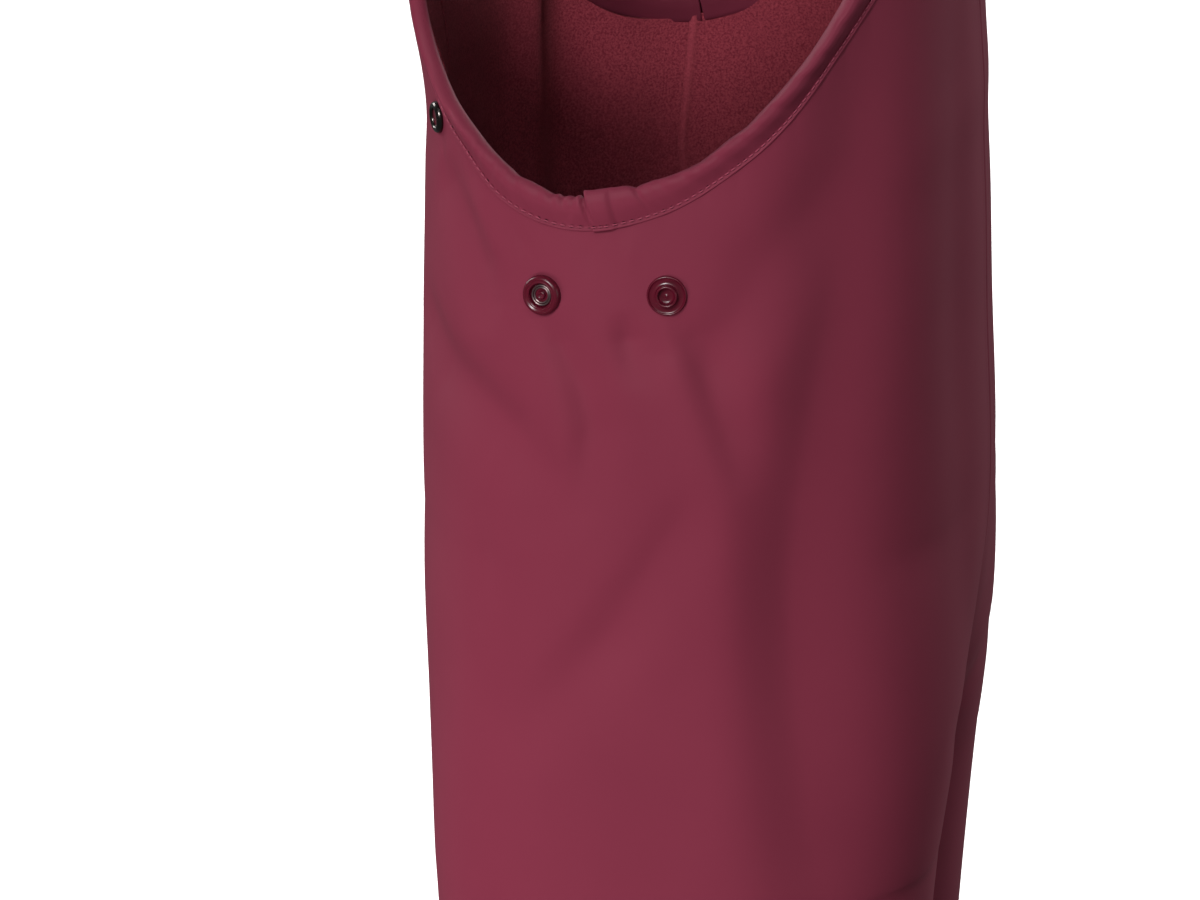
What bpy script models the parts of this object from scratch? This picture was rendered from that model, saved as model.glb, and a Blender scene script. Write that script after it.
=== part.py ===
"""Child's fleece-lined rain dungarees, filled out as when worn, with no wearer inside.

Metres, +Z up, the front faces -Y and the wearer's left side faces +X. The origin lies at the
shoulder line, midway between the two straps, where the straps rest on the shoulders.

Every piece of cloth is worked out from one form. A place on the garment is given by `around`,
the way round one half from the centre front to the centre back, measured at the underarm, and
by its height z. Each half is an arc of rounded sections: half of the trunk above the crotch,
and a whole ring round the leg below it.
"""

import bmesh
import bpy
import numpy as np
from mathutils import Vector

# ---- driving sizes -------------------------------------------------------------------------
UNDERARM_Z = -0.165
CROTCH_Z = -0.420
HEM_Z = -0.850
CROTCH_RISE = 0.120  # height over which the centre seam curves in under the body
SEAM_GAP = 0.0003
CASING_GAP = 0.0005  # the casing's edge bends, so its straight mesh lines need a little more
OUTER_WALL = 0.0012
LINING_WALL = 0.0016
LINING_ABOVE_HEM = 0.012
CASING_WIDTH = 0.012
CASING_PROUD = 0.0009  # how far the elasticated casing stands out from the cloth, each side
LAP_LENGTH = 0.008  # the casing's overlapped end under each arm
LAP_RISE = 0.0008
STRAP_WIDTH = 0.028
STRAP_THICKNESS = 0.002
STRAP_AROUND = 0.054  # middle of each strap, from the centre seam
STRAP_END_Z = UNDERARM_Z + 0.056  # its rounded end, on the bib
BIB_TOP_Z = UNDERARM_Z + 0.095
BACK_TOP_Z = UNDERARM_Z + 0.114
STRAP_TOP_Y = -0.010  # where the strap lies level on the shoulder

SECTIONS = (
    # height, outer side, inner side, front, back (distances from the centre planes)
    (-0.045, 0.1270, 0.0, 0.1060, 0.088),
    (-0.100, 0.1290, 0.0, 0.1030, 0.092),
    (-0.130, 0.1295, 0.0, 0.0985, 0.094),
    (-0.145, 0.1300, 0.0, 0.0955, 0.095),
    (-0.160, 0.1305, 0.0, 0.0940, 0.096),
    (-0.175, 0.1320, 0.0, 0.0945, 0.096),
    (-0.200, 0.1345, 0.0, 0.0950, 0.097),
    (-0.240, 0.1375, 0.0, 0.0955, 0.098),
    (-0.300, 0.1390, 0.0, 0.0946, 0.100),
    (-0.365, 0.1395, 0.0, 0.0885, 0.0965),
    (-0.420, 0.1400, 0.0002, 0.0845, 0.0905),
    (-0.520, 0.1380, 0.0060, 0.0790, 0.0820),
    (-0.640, 0.1340, 0.0150, 0.0700, 0.072),
    (-0.850, 0.1310, 0.0240, 0.0600, 0.062),
)

SQUARENESS = (
    # height, exponent of the rounded section: 2 is an ellipse, more is boxier
    (-0.045, 2.7),
    (-0.300, 2.7),
    (-0.420, 2.5),
    (-0.640, 2.2),
    (-0.850, 2.1),
)

TOP_EDGE = (
    # around, height above the underarm: the finished edge of one half, bib to back
    (0.000, 0.0950),  # centre front of the bib
    (0.030, 0.0955),
    (0.058, 0.0945),
    (0.077, 0.0840),  # bib corner
    (0.086, 0.0600),
    (0.091, 0.0400),
    (0.100, 0.0285),
    (0.121, 0.0146),
    (0.140, 0.0030),
    (0.160, -0.0018),  # lowest point, under the arm
    (0.187, 0.0038),
    (0.213, 0.0202),
    (0.252, 0.0560),
    (0.298, 0.0960),
    (0.322, 0.1100),  # back corner
    (0.345, 0.1140),
    (0.383, 0.1140),  # centre back
)

STRAP_END = (
    # height above the end, share of the strap's width: the rounded corners, then the straight
    (0.0, 0.55),
    (0.0025, 0.86),
    (0.007, 1.0),
    (0.015, 1.0),
    (0.026, 1.0),
    (0.036, 1.0),
)

STRAP_PULLS = (
    # sideways, front to back, up: how the strap's bend leaves the bib, crosses the shoulder
    # and comes down to the back
    (0.0, -0.002, 0.040),
    (0.0, 0.052, 0.0),
    (0.0, 0.004, -0.034),
)

FOLDS = (
    # around, top, bottom, width, depth: the broad upright troughs of one half
    (0.232, -0.190, -0.480, 0.016, 0.0022),
    (0.330, -0.160, -0.400, 0.018, 0.0020),
    (0.050, -0.190, -0.420, 0.017, 0.0010),
)

CASING_JOIN = 0.1675  # around: where the two casings overlap, and the lining's side seam
SEAM_BASE = 0.1620  # around: that seam from TRUNK_BASE_Z down
TRUNK_BASE_Z = UNDERARM_Z - 0.060  # above this the mesh lines fan out to the top edge

# Mesh lines of one half, where they meet the finished edge: closer where the edge bends.
FRONT_LINES = (0.0, 0.030, 0.054, 0.067, 0.0765, 0.0825, 0.0875, 0.0925, 0.105, 0.121, 0.137,
               0.152, CASING_JOIN)
BACK_LINES = (CASING_JOIN, CASING_JOIN + LAP_LENGTH, 0.192, 0.209, 0.231, 0.256, 0.281, 0.303,
              0.321, 0.342, 0.362, 0.383)
FAN_ROWS = (0.0, 0.25, 0.45, 0.62, 0.76, 0.89, 1.0)
TRUNK_ROWS = (-0.275,)
CROTCH_ANGLES = (90.0, 68.0, 46.0, 24.0, 0.0)
LEG_ROWS = (-0.470, -0.530, -0.600, -0.680, -0.765, -0.850)

SOCKET_AROUND = 0.1486
SOCKET_Z = -0.2020
STUD_AROUND = 0.1912
STUD_Z = -0.1992
SNAP_RADIUS = 0.00685
BIB_SNAP_AROUND = 0.0901
BIB_SNAP_Z = UNDERARM_Z + 0.0111
BIB_SNAP_OUT = 0.0008  # clear of the cloth, which is drawn in to a shallow waist here
STRAP_SNAP_Z = UNDERARM_Z + 0.0710
CAP_RADIUS = 0.0055

MATERIALS = {
    # name: (linear colour, roughness, metallic)
    "coated_cloth": ((0.205, 0.033, 0.054, 1.0), 0.42, 0.0),
    "fleece": ((0.150, 0.020, 0.034, 1.0), 0.95, 0.0),
    "snap_enamel": ((0.180, 0.014, 0.028, 1.0), 0.22, 0.0),
    "dark_nickel": ((0.050, 0.045, 0.045, 1.0), 0.25, 1.0),
}


# ---- the garment's form --------------------------------------------------------------------
def smooth(table, column, at):
    """A table's column read at a height or distance, on a smooth curve through its rows."""
    rows = np.array(table)
    rows = rows[np.argsort(rows[:, 0])]
    x, y = rows[:, 0], rows[:, column]
    slope = np.gradient(y, x)
    at = np.clip(at, x[0], x[-1])
    k = np.clip(np.searchsorted(x, at) - 1, 0, len(x) - 2)
    step = x[k + 1] - x[k]
    t = (at - x[k]) / step
    near = (1 + 2 * t) * (1 - t) ** 2 * y[k] + t * (1 - t) ** 2 * step * slope[k]
    far = t**2 * (3 - 2 * t) * y[k + 1] - t**2 * (1 - t) * step * slope[k + 1]
    return near + far


def rounded(turn, power):
    """The sideways and front-to-back shares of a rounded section at a turn from the side."""
    cos, sin = np.cos(turn), np.sin(turn)
    return (
        np.sign(cos) * np.abs(cos) ** (2 / power),
        np.sign(sin) * np.abs(sin) ** (2 / power),
    )


def end_turn(z, power):
    """How far each half's section turns from the side: a quarter turn in the trunk, half in
    the leg, and between them as the centre seam curves in under the body."""
    up = np.clip((z - CROTCH_Z) / CROTCH_RISE, 0, 1)
    reach = np.sqrt(1 - (1 - up) ** 3)
    return np.pi - np.arcsin(np.clip(reach, 0.002, 1) ** (power / 2))


def measure_around():
    """Distance round the underarm section against its turn, and the half girth."""
    turn = np.linspace(-np.pi / 2, np.pi / 2, 4001)
    across, along = rounded(turn, smooth(SQUARENESS, 1, UNDERARM_Z))
    x = smooth(SECTIONS, 1, UNDERARM_Z) * across
    front, back = smooth(SECTIONS, 3, UNDERARM_Z), smooth(SECTIONS, 4, UNDERARM_Z)
    y = np.where(turn < 0, front, back) * along
    way = np.concatenate([[0], np.cumsum(np.hypot(np.diff(x), np.diff(y)))])
    return turn / (np.pi / 2), way


TURN_SHARES, WAY_ROUND = measure_around()
HALF_GIRTH = WAY_ROUND[-1]


def fold_depth(around, z):
    """How far the broad upright folds press the cloth in."""
    depth = 0
    for place, top, bottom, width, deepest in FOLDS:
        run = np.clip((top - z) / (top - bottom), 0, 1)
        depth = depth + deepest * np.sin(np.pi * run) * np.exp(-(((around - place) / width) ** 2))
    return depth


def bare_form(around, z):
    """Points of the left half's outer face before its folds."""
    power = smooth(SQUARENESS, 1, z)
    last = end_turn(z, power)
    turn = np.interp(around, WAY_ROUND, TURN_SHARES) * last
    across, along = rounded(turn, power)
    outer, inner = smooth(SECTIONS, 1, z), smooth(SECTIONS, 2, z) + SEAM_GAP / 2
    past_side = -rounded(last, power)[0]
    half_width = (outer - inner) / (1 + past_side)
    depth = np.where(turn < 0, smooth(SECTIONS, 3, z), smooth(SECTIONS, 4, z))
    return np.stack([outer - half_width * (1 - across), depth * along, z], -1)


def outward(around, z):
    """Outward unit normals of the form, from its slopes both ways."""
    step = 0.0008
    low, high = np.clip(around - step, 0, HALF_GIRTH), np.clip(around + step, 0, HALF_GIRTH)
    round_it = bare_form(high, z) - bare_form(low, z)
    up_it = bare_form(around, z + step) - bare_form(around, z - step)
    normal = np.cross(round_it, up_it)
    return normal / np.linalg.norm(normal, axis=-1, keepdims=True)


def form(around, z, out=0.0):
    """Points of the left half, moved `out` from the outer cloth's outer face."""
    around, z = np.broadcast_arrays(np.asarray(around, float), np.asarray(z, float))
    move = out - fold_depth(around, z)
    return bare_form(around, z) + outward(around, z) * move[..., None]


# ---- the finished top edge -----------------------------------------------------------------
def top_edge(share):
    """(around, height) of the finished edge at a share of its length, and its downward normal."""
    knots = np.array(TOP_EDGE) * [HALF_GIRTH / TOP_EDGE[-1][0], 1]
    chord = np.concatenate([[0], np.cumsum(np.linalg.norm(np.diff(knots, axis=0), axis=1))])
    table = np.column_stack([chord, knots])
    at = np.asarray(share, float) * chord[-1]
    place = np.stack([smooth(table, 1, at), smooth(table, 2, at)], -1)
    step = 0.001
    ahead = np.stack([smooth(table, 1, at + step), smooth(table, 2, at + step)], -1)
    behind = np.stack([smooth(table, 1, at - step), smooth(table, 2, at - step)], -1)
    along = ahead - behind
    along /= np.linalg.norm(along, axis=-1, keepdims=True)
    down = np.stack([along[..., 1], -along[..., 0]], -1)
    return place, down


def edge_line(share, below):
    """(around, z) on a line that runs `below` the finished edge."""
    place, down = top_edge(share)
    place = place + down * np.asarray(below)[..., None]
    return np.clip(place[..., 0], 0, HALF_GIRTH), place[..., 1] + UNDERARM_Z


def share_at(around):
    """The share of the finished edge's length that lies at `around`."""
    shares = np.linspace(0, 1, 2001)
    return np.interp(around, top_edge(shares)[0][:, 0], shares)


FRONT_SHARES = share_at(FRONT_LINES)
BACK_SHARES = share_at(BACK_LINES)
GAP_SHARE = SEAM_GAP / HALF_GIRTH
JOIN_SHARE = float(share_at(CASING_JOIN))


# ---- meshes and objects --------------------------------------------------------------------
def material(name):
    colour, roughness, metallic = MATERIALS[name]
    made = bpy.data.materials.get(name) or bpy.data.materials.new(name)
    made.use_nodes = True
    shader = made.node_tree.nodes["Principled BSDF"]
    shader.inputs["Base Color"].default_value = colour
    shader.inputs["Roughness"].default_value = roughness
    shader.inputs["Metallic"].default_value = metallic
    return made


def add_object(name, mesh, finish):
    mesh.materials.append(material(finish))
    mesh.shade_smooth()
    mesh.set_sharp_from_angle(angle=np.radians(50))
    made = bpy.data.objects.new(name, mesh)
    garment.objects.link(made)
    made.parent = shoulder_line
    return made


def mirrored(points, side):
    """The left half's points on the wearer's left (side 1) or right (side -1)."""
    return points * np.array([side, 1, 1])


def wall_mesh(name, outer, inner, side):
    """A closed wall between two grids of points of the left half, rows by columns. Side -1
    mirrors it to the right. Every face is cut by the same diagonal, so the walls that lie on
    each other stay parallel."""
    rows, columns = outer.shape[:2]
    index = np.arange(rows * columns).reshape(rows, columns)
    corners = [index[:-1, :-1], index[:-1, 1:], index[1:, 1:], index[1:, :-1]]
    skin = np.stack(corners, -1).reshape(-1, 4)
    under = skin[:, [0, 3, 2, 1]] + rows * columns
    rim = np.concatenate([index[0], index[1:, -1], index[-1, -2::-1], index[-2:0:-1, 0]])
    after = np.roll(rim, -1)
    edge = np.stack([after, rim, rim + rows * columns, after + rows * columns], -1)
    faces = np.concatenate([skin, under, edge])
    if side < 0:
        faces = faces[:, [0, 3, 2, 1]]
    points = np.concatenate([outer.reshape(-1, 3), inner.reshape(-1, 3)])
    mesh = bpy.data.meshes.new(name)
    mesh.from_pydata(mirrored(points, side).tolist(), [], faces.tolist())
    return mesh


def turn_faces_out(mesh):
    shape = bmesh.new()
    shape.from_mesh(mesh)
    bmesh.ops.recalc_face_normals(shape, faces=shape.faces)
    shape.to_mesh(mesh)
    shape.free()


def panel_points(shares, hem_z, out):
    """Grid of points for a panel: rows from the hem up to the casing, columns round the half."""
    below_casing = CASING_WIDTH + CASING_GAP
    base_around = np.interp(shares, (0, JOIN_SHARE, 1), (0, SEAM_BASE, HALF_GIRTH))
    top_around, top_z = edge_line(shares, below_casing)
    up = np.array(FAN_ROWS)[:, None]
    fan_around = base_around + up * (top_around - base_around)
    fan_z = TRUNK_BASE_Z + up * (top_z - TRUNK_BASE_Z)
    seam_rows = CROTCH_Z + CROTCH_RISE * (1 - np.cos(np.radians(CROTCH_ANGLES)))
    legs = np.maximum(LEG_ROWS, hem_z)
    low_z = np.concatenate([legs[::-1], seam_rows[::-1], TRUNK_ROWS[::-1]])
    low_around = np.broadcast_to(base_around, (len(low_z), len(shares)))
    around = np.vstack([low_around, fan_around])
    z = np.vstack([np.broadcast_to(low_z[:, None], low_around.shape), fan_z])
    return form(around, z, out)


def add_panel(name, side, shares, hem_z, out, wall, finish):
    """A wall of cloth between its outer face and the face towards the wearer."""
    outer = panel_points(shares, hem_z, out)
    inner = panel_points(shares, hem_z, out - wall)
    return add_object(name, wall_mesh(name, outer, inner, side), finish)


def casing_profile(rise):
    """Closed outline of the casing: (way down from its top edge, distance out from the cloth)."""
    inside = -(OUTER_WALL + SEAM_GAP + LINING_WALL) - CASING_PROUD
    outside = CASING_PROUD + rise
    middle = (inside + outside) / 2
    return np.array(
        [
            (0.0, middle),
            (0.0008, outside - 0.0009),
            (0.0024, outside),
            (CASING_WIDTH, outside - 0.0002),
            (CASING_WIDTH, inside + 0.0002),
            (0.0024, inside),
            (0.0008, inside + 0.0009),
        ]
    )


def casing_rings(shares, rises):
    """One ring of the casing's outline for each share of the edge."""
    rings = []
    for share, rise in zip(shares, rises):
        outline = casing_profile(rise)
        around, z = edge_line(np.full(len(outline), share), outline[:, 0])
        rings.append(form(around, z, outline[:, 1]))
    return np.array(rings)


def add_casing(name, shares, rises):
    """An elasticated casing from under one arm to under the other, crossing the centre seam.

    The shares run from the underarm to the centre seam of the left half."""
    left = casing_rings(shares, rises)
    left[-1, :, 0] = 0
    right = mirrored(left[:-1][::-1], -1)
    rings = np.concatenate([left, right])
    count, corners = rings.shape[:2]
    index = np.arange(count * corners).reshape(count, corners)
    after = np.roll(index, -1, axis=1)
    sides = np.stack([index[:-1], after[:-1], after[1:], index[1:]], -1)
    middle = len(left) - 1
    sides[middle:] = np.roll(sides[middle:], -1, axis=-1)  # the right half mirrors the left's
    faces = sides.reshape(-1, 4).tolist() + [index[0].tolist(), index[-1].tolist()]
    mesh = bpy.data.meshes.new(name)
    mesh.from_pydata(rings.reshape(-1, 3).tolist(), [], faces)
    turn_faces_out(mesh)
    return add_object(name, mesh, "coated_cloth")


def strap_points():
    """Grid of the left strap's middle face: bib end, up over the shoulder, down to the back."""
    across = np.array([-0.5, 0.0, 0.5]) * STRAP_WIDTH
    on_bib = CASING_PROUD + 2 * SEAM_GAP + STRAP_THICKNESS / 2
    lying = [
        form(STRAP_AROUND + across * share, STRAP_END_Z + up, on_bib) for up, share in STRAP_END
    ]
    start = form(STRAP_AROUND + across, BIB_TOP_Z, on_bib)
    middle_of_wall = -(OUTER_WALL + SEAM_GAP + LINING_WALL) / 2
    finish = form(HALF_GIRTH - STRAP_AROUND - across, BACK_TOP_Z + SEAM_GAP, middle_of_wall)
    top = np.array([start[1, 0], STRAP_TOP_Y, 0.0])
    crosswise = across[:, None] * np.array([1.0, 0.0, 0.0])

    def arch(first, last, leave, arrive, first_cross, last_cross):
        """A cubic bend between two points, whose cross line turns from one to the other."""
        t = np.linspace(0, 1, 13)[:, None]
        knots = [first, first + leave, last - arrive, last]
        weights = [(1 - t) ** 3, 3 * t * (1 - t) ** 2, 3 * t**2 * (1 - t), t**3]
        centre = sum(weight * knot for weight, knot in zip(weights, knots))
        ease = (t**2 * (3 - 2 * t))[:, :, None]
        cross = first_cross * (1 - ease) + last_cross * ease
        return centre[:, None, :] + cross

    up_bib, over, down_back = np.array(STRAP_PULLS)
    front = arch(start[1], top, up_bib, over, start - start[1], crosswise)
    back = arch(top, finish[1], over, down_back, crosswise, finish - finish[1])
    return np.concatenate([lying, front, back[1:]])


def add_strap(name, side):
    """The strap's middle face, thickened both ways along its own normals."""
    middle = strap_points()
    along = np.gradient(middle, axis=0)
    normal = np.cross(along, middle[:, -1:] - middle[:, :1])
    normal /= np.linalg.norm(normal, axis=-1, keepdims=True)
    half = normal * STRAP_THICKNESS / 2
    return add_object(name, wall_mesh(name, middle - half, middle + half, side), "coated_cloth")


def add_turned(name, outline, side, around, z, out, finish):
    """A turned piece: its outline (radius, height) swept about its own axis, set square on the
    cloth. An outline that leaves the axis free makes a ring."""
    mesh = bpy.data.meshes.new(name)
    points = [(radius, 0.0, height) for radius, height in outline]
    edges = [(k, k + 1) for k in range(len(points) - 1)]
    if outline[0][0] > 0:
        edges.append((len(points) - 1, 0))
    mesh.from_pydata(points, edges, [])
    piece = add_object(name, mesh, finish)
    turn = piece.modifiers.new("turn", "SCREW")
    turn.steps = 20
    turn.render_steps = 20
    turn.use_merge_vertices = True
    turn.merge_threshold = 0.00001
    turn.use_normal_calculate = True
    normal = Vector(outward(np.array(around), np.array(z)) * [side, 1, 1])
    piece.location = Vector(form(around, z, out) * [side, 1, 1])
    piece.rotation_mode = "QUATERNION"
    piece.rotation_quaternion = normal.to_track_quat("Z", "Y")
    return piece


# Outlines run from the axis at the top, down the outer side and back to the axis below.
SOCKET_OUTLINE = (
    (0.0, 0.0008),
    (0.0030, 0.0008),
    (0.0036, 0.0024),
    (0.0048, 0.0031),
    (0.0062, 0.0024),
    (SNAP_RADIUS, 0.0011),
    (SNAP_RADIUS - 0.0002, 0.0),
    (0.0, 0.0),
)
STUD_OUTLINE = (
    (0.0, 0.0010),
    (0.0026, 0.0010),
    (0.0029, 0.0028),
    (0.0037, 0.0028),
    (0.0040, 0.0012),
    (0.0062, 0.0012),
    (SNAP_RADIUS, 0.0007),
    (SNAP_RADIUS - 0.0002, 0.0),
    (0.0, 0.0),
)
CAP_RING_OUTLINE = (
    (0.0034, 0.0012),
    (0.0044, 0.0016),
    (0.0052, 0.0012),
    (CAP_RADIUS, 0.0004),
    (CAP_RADIUS - 0.0001, 0.0),
    (0.0031, 0.0),
)


# ---- the whole garment ---------------------------------------------------------------------
for old in list(bpy.data.objects):
    bpy.data.objects.remove(old, do_unlink=True)

garment = bpy.data.collections.new("rain_dungarees")
bpy.context.scene.collection.children.link(garment)
shoulder_line = bpy.data.objects.new("shoulder_line", None)
garment.objects.link(shoulder_line)

all_shares = np.concatenate([FRONT_SHARES, BACK_SHARES[1:]])
lining_hem = HEM_Z + LINING_ABOVE_HEM
lining_out = -(OUTER_WALL + SEAM_GAP)
for hand, side in (("left", 1), ("right", -1)):
    add_panel(f"outer_{hand}", side, all_shares, HEM_Z, 0.0, OUTER_WALL, "coated_cloth")
    for place, shares, seam, gap in (
        ("front", FRONT_SHARES, -1, -GAP_SHARE / 2),
        ("back", BACK_SHARES, 0, GAP_SHARE / 2),
    ):
        shares = shares.copy()
        shares[seam] += gap
        add_panel(
            f"lining_{place}_{hand}", side, shares, lining_hem, lining_out, LINING_WALL, "fleece"
        )
    add_strap(f"strap_{hand}", side)
    add_turned(
        f"snap_socket_{hand}", SOCKET_OUTLINE, side, SOCKET_AROUND, SOCKET_Z,
        SEAM_GAP, "snap_enamel",
    )
    add_turned(
        f"snap_stud_{hand}", STUD_OUTLINE, side, STUD_AROUND, STUD_Z,
        SEAM_GAP, "snap_enamel",
    )
    add_turned(
        f"bib_snap_{hand}", CAP_RING_OUTLINE, side, BIB_SNAP_AROUND, BIB_SNAP_Z,
        BIB_SNAP_OUT, "dark_nickel",
    )
    strap_snap_out = CASING_PROUD + STRAP_THICKNESS + 3 * SEAM_GAP
    add_turned(
        f"strap_snap_{hand}", CAP_RING_OUTLINE, side, STRAP_AROUND, STRAP_SNAP_Z,
        strap_snap_out, "dark_nickel",
    )

add_casing("casing_front", FRONT_SHARES[::-1], np.zeros(len(FRONT_SHARES)))
lap_start, lap_end = BACK_SHARES[:2]
after_lap = lap_end + 2 * GAP_SHARE
back_shares = np.concatenate([[lap_start + GAP_SHARE, lap_end, after_lap], BACK_SHARES[2:]])
back_rises = np.where(back_shares <= lap_end, LAP_RISE, 0.0)
add_casing("casing_back", back_shares, back_rises)
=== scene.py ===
"""Looks for a child's fleece-lined rain dungarees, filled out as when worn with no wearer inside.

Metres, +Z up, the front faces -Y, the wearer's left faces +X, and the origin is on the shoulder
line. A place on the garment is given by `around`, the way round one half from the centre front to
the centre back at the underarm, and by its height z.
"""

import bpy
import numpy as np
from mathutils import Matrix


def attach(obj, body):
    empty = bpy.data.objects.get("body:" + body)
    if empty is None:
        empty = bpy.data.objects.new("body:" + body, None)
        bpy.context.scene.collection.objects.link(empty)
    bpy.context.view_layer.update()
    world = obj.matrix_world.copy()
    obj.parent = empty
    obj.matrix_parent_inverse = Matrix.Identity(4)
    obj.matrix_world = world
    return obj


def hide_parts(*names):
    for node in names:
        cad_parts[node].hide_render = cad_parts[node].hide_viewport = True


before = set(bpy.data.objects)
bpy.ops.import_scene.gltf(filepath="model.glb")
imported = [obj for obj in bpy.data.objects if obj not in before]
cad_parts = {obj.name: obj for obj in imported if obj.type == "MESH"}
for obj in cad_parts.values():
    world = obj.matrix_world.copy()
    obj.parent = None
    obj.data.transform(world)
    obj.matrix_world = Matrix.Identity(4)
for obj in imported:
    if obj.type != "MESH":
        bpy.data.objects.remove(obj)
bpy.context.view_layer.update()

# ---- Outer halves --------------------------------------------------------------------------
# Left and right halves of rain cloth, knitted polyester with a smooth polyurethane coating. Each
# is cut with front, back and leg in one, welded to the other along the centre and inner leg.
MM = 0.001
UNDERARM_Z, CROTCH_Z, HEM_Z = -0.165, -0.420, -0.850
CROTCH_RISE = 0.120  # height over which the centre seam curves in under the body
TRUNK_BASE_Z = UNDERARM_Z - 0.060  # above this the mesh lines fan out to the top edge
SEAM_GAP = 0.0003
OUTER_WALL = 0.0012
CASING_WIDTH = 0.012
HANDS = (("left", 1), ("right", -1))  # the wearer's, with the sign of x
CLOTH_COLOURS = ("#702a3b", "#6d2839")  # light and dark

SECTIONS = (
    # height, outer side, inner side, front, back (distances from the centre planes)
    (-0.045, 0.1270, 0.0, 0.1060, 0.088),
    (-0.100, 0.1290, 0.0, 0.1030, 0.092),
    (-0.130, 0.1295, 0.0, 0.0985, 0.094),
    (-0.145, 0.1300, 0.0, 0.0955, 0.095),
    (-0.160, 0.1305, 0.0, 0.0940, 0.096),
    (-0.175, 0.1320, 0.0, 0.0945, 0.096),
    (-0.200, 0.1345, 0.0, 0.0950, 0.097),
    (-0.240, 0.1375, 0.0, 0.0955, 0.098),
    (-0.300, 0.1390, 0.0, 0.0950, 0.100),
    (-0.365, 0.1395, 0.0, 0.0885, 0.0965),
    (-0.420, 0.1400, 0.0002, 0.0845, 0.0905),
    (-0.520, 0.1380, 0.0060, 0.0790, 0.0820),
    (-0.640, 0.1340, 0.0150, 0.0700, 0.072),
    (-0.850, 0.1310, 0.0240, 0.0600, 0.062),
)

SQUARENESS = (
    # height, exponent of the rounded section: 2 is an ellipse, more is boxier
    (-0.045, 2.7),
    (-0.300, 2.7),
    (-0.420, 2.5),
    (-0.640, 2.2),
    (-0.850, 2.1),
)

TOP_EDGE = (
    # around, height above the underarm: the finished edge of one half, bib to back
    (0.000, 0.0950),
    (0.030, 0.0955),
    (0.058, 0.0945),
    (0.077, 0.0840),
    (0.086, 0.0600),
    (0.091, 0.0400),
    (0.100, 0.0285),
    (0.121, 0.0146),
    (0.140, 0.0030),
    (0.160, -0.0018),
    (0.187, 0.0038),
    (0.213, 0.0202),
    (0.252, 0.0560),
    (0.298, 0.0960),
    (0.322, 0.1100),
    (0.345, 0.1140),
    (0.383, 0.1140),
)

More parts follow.
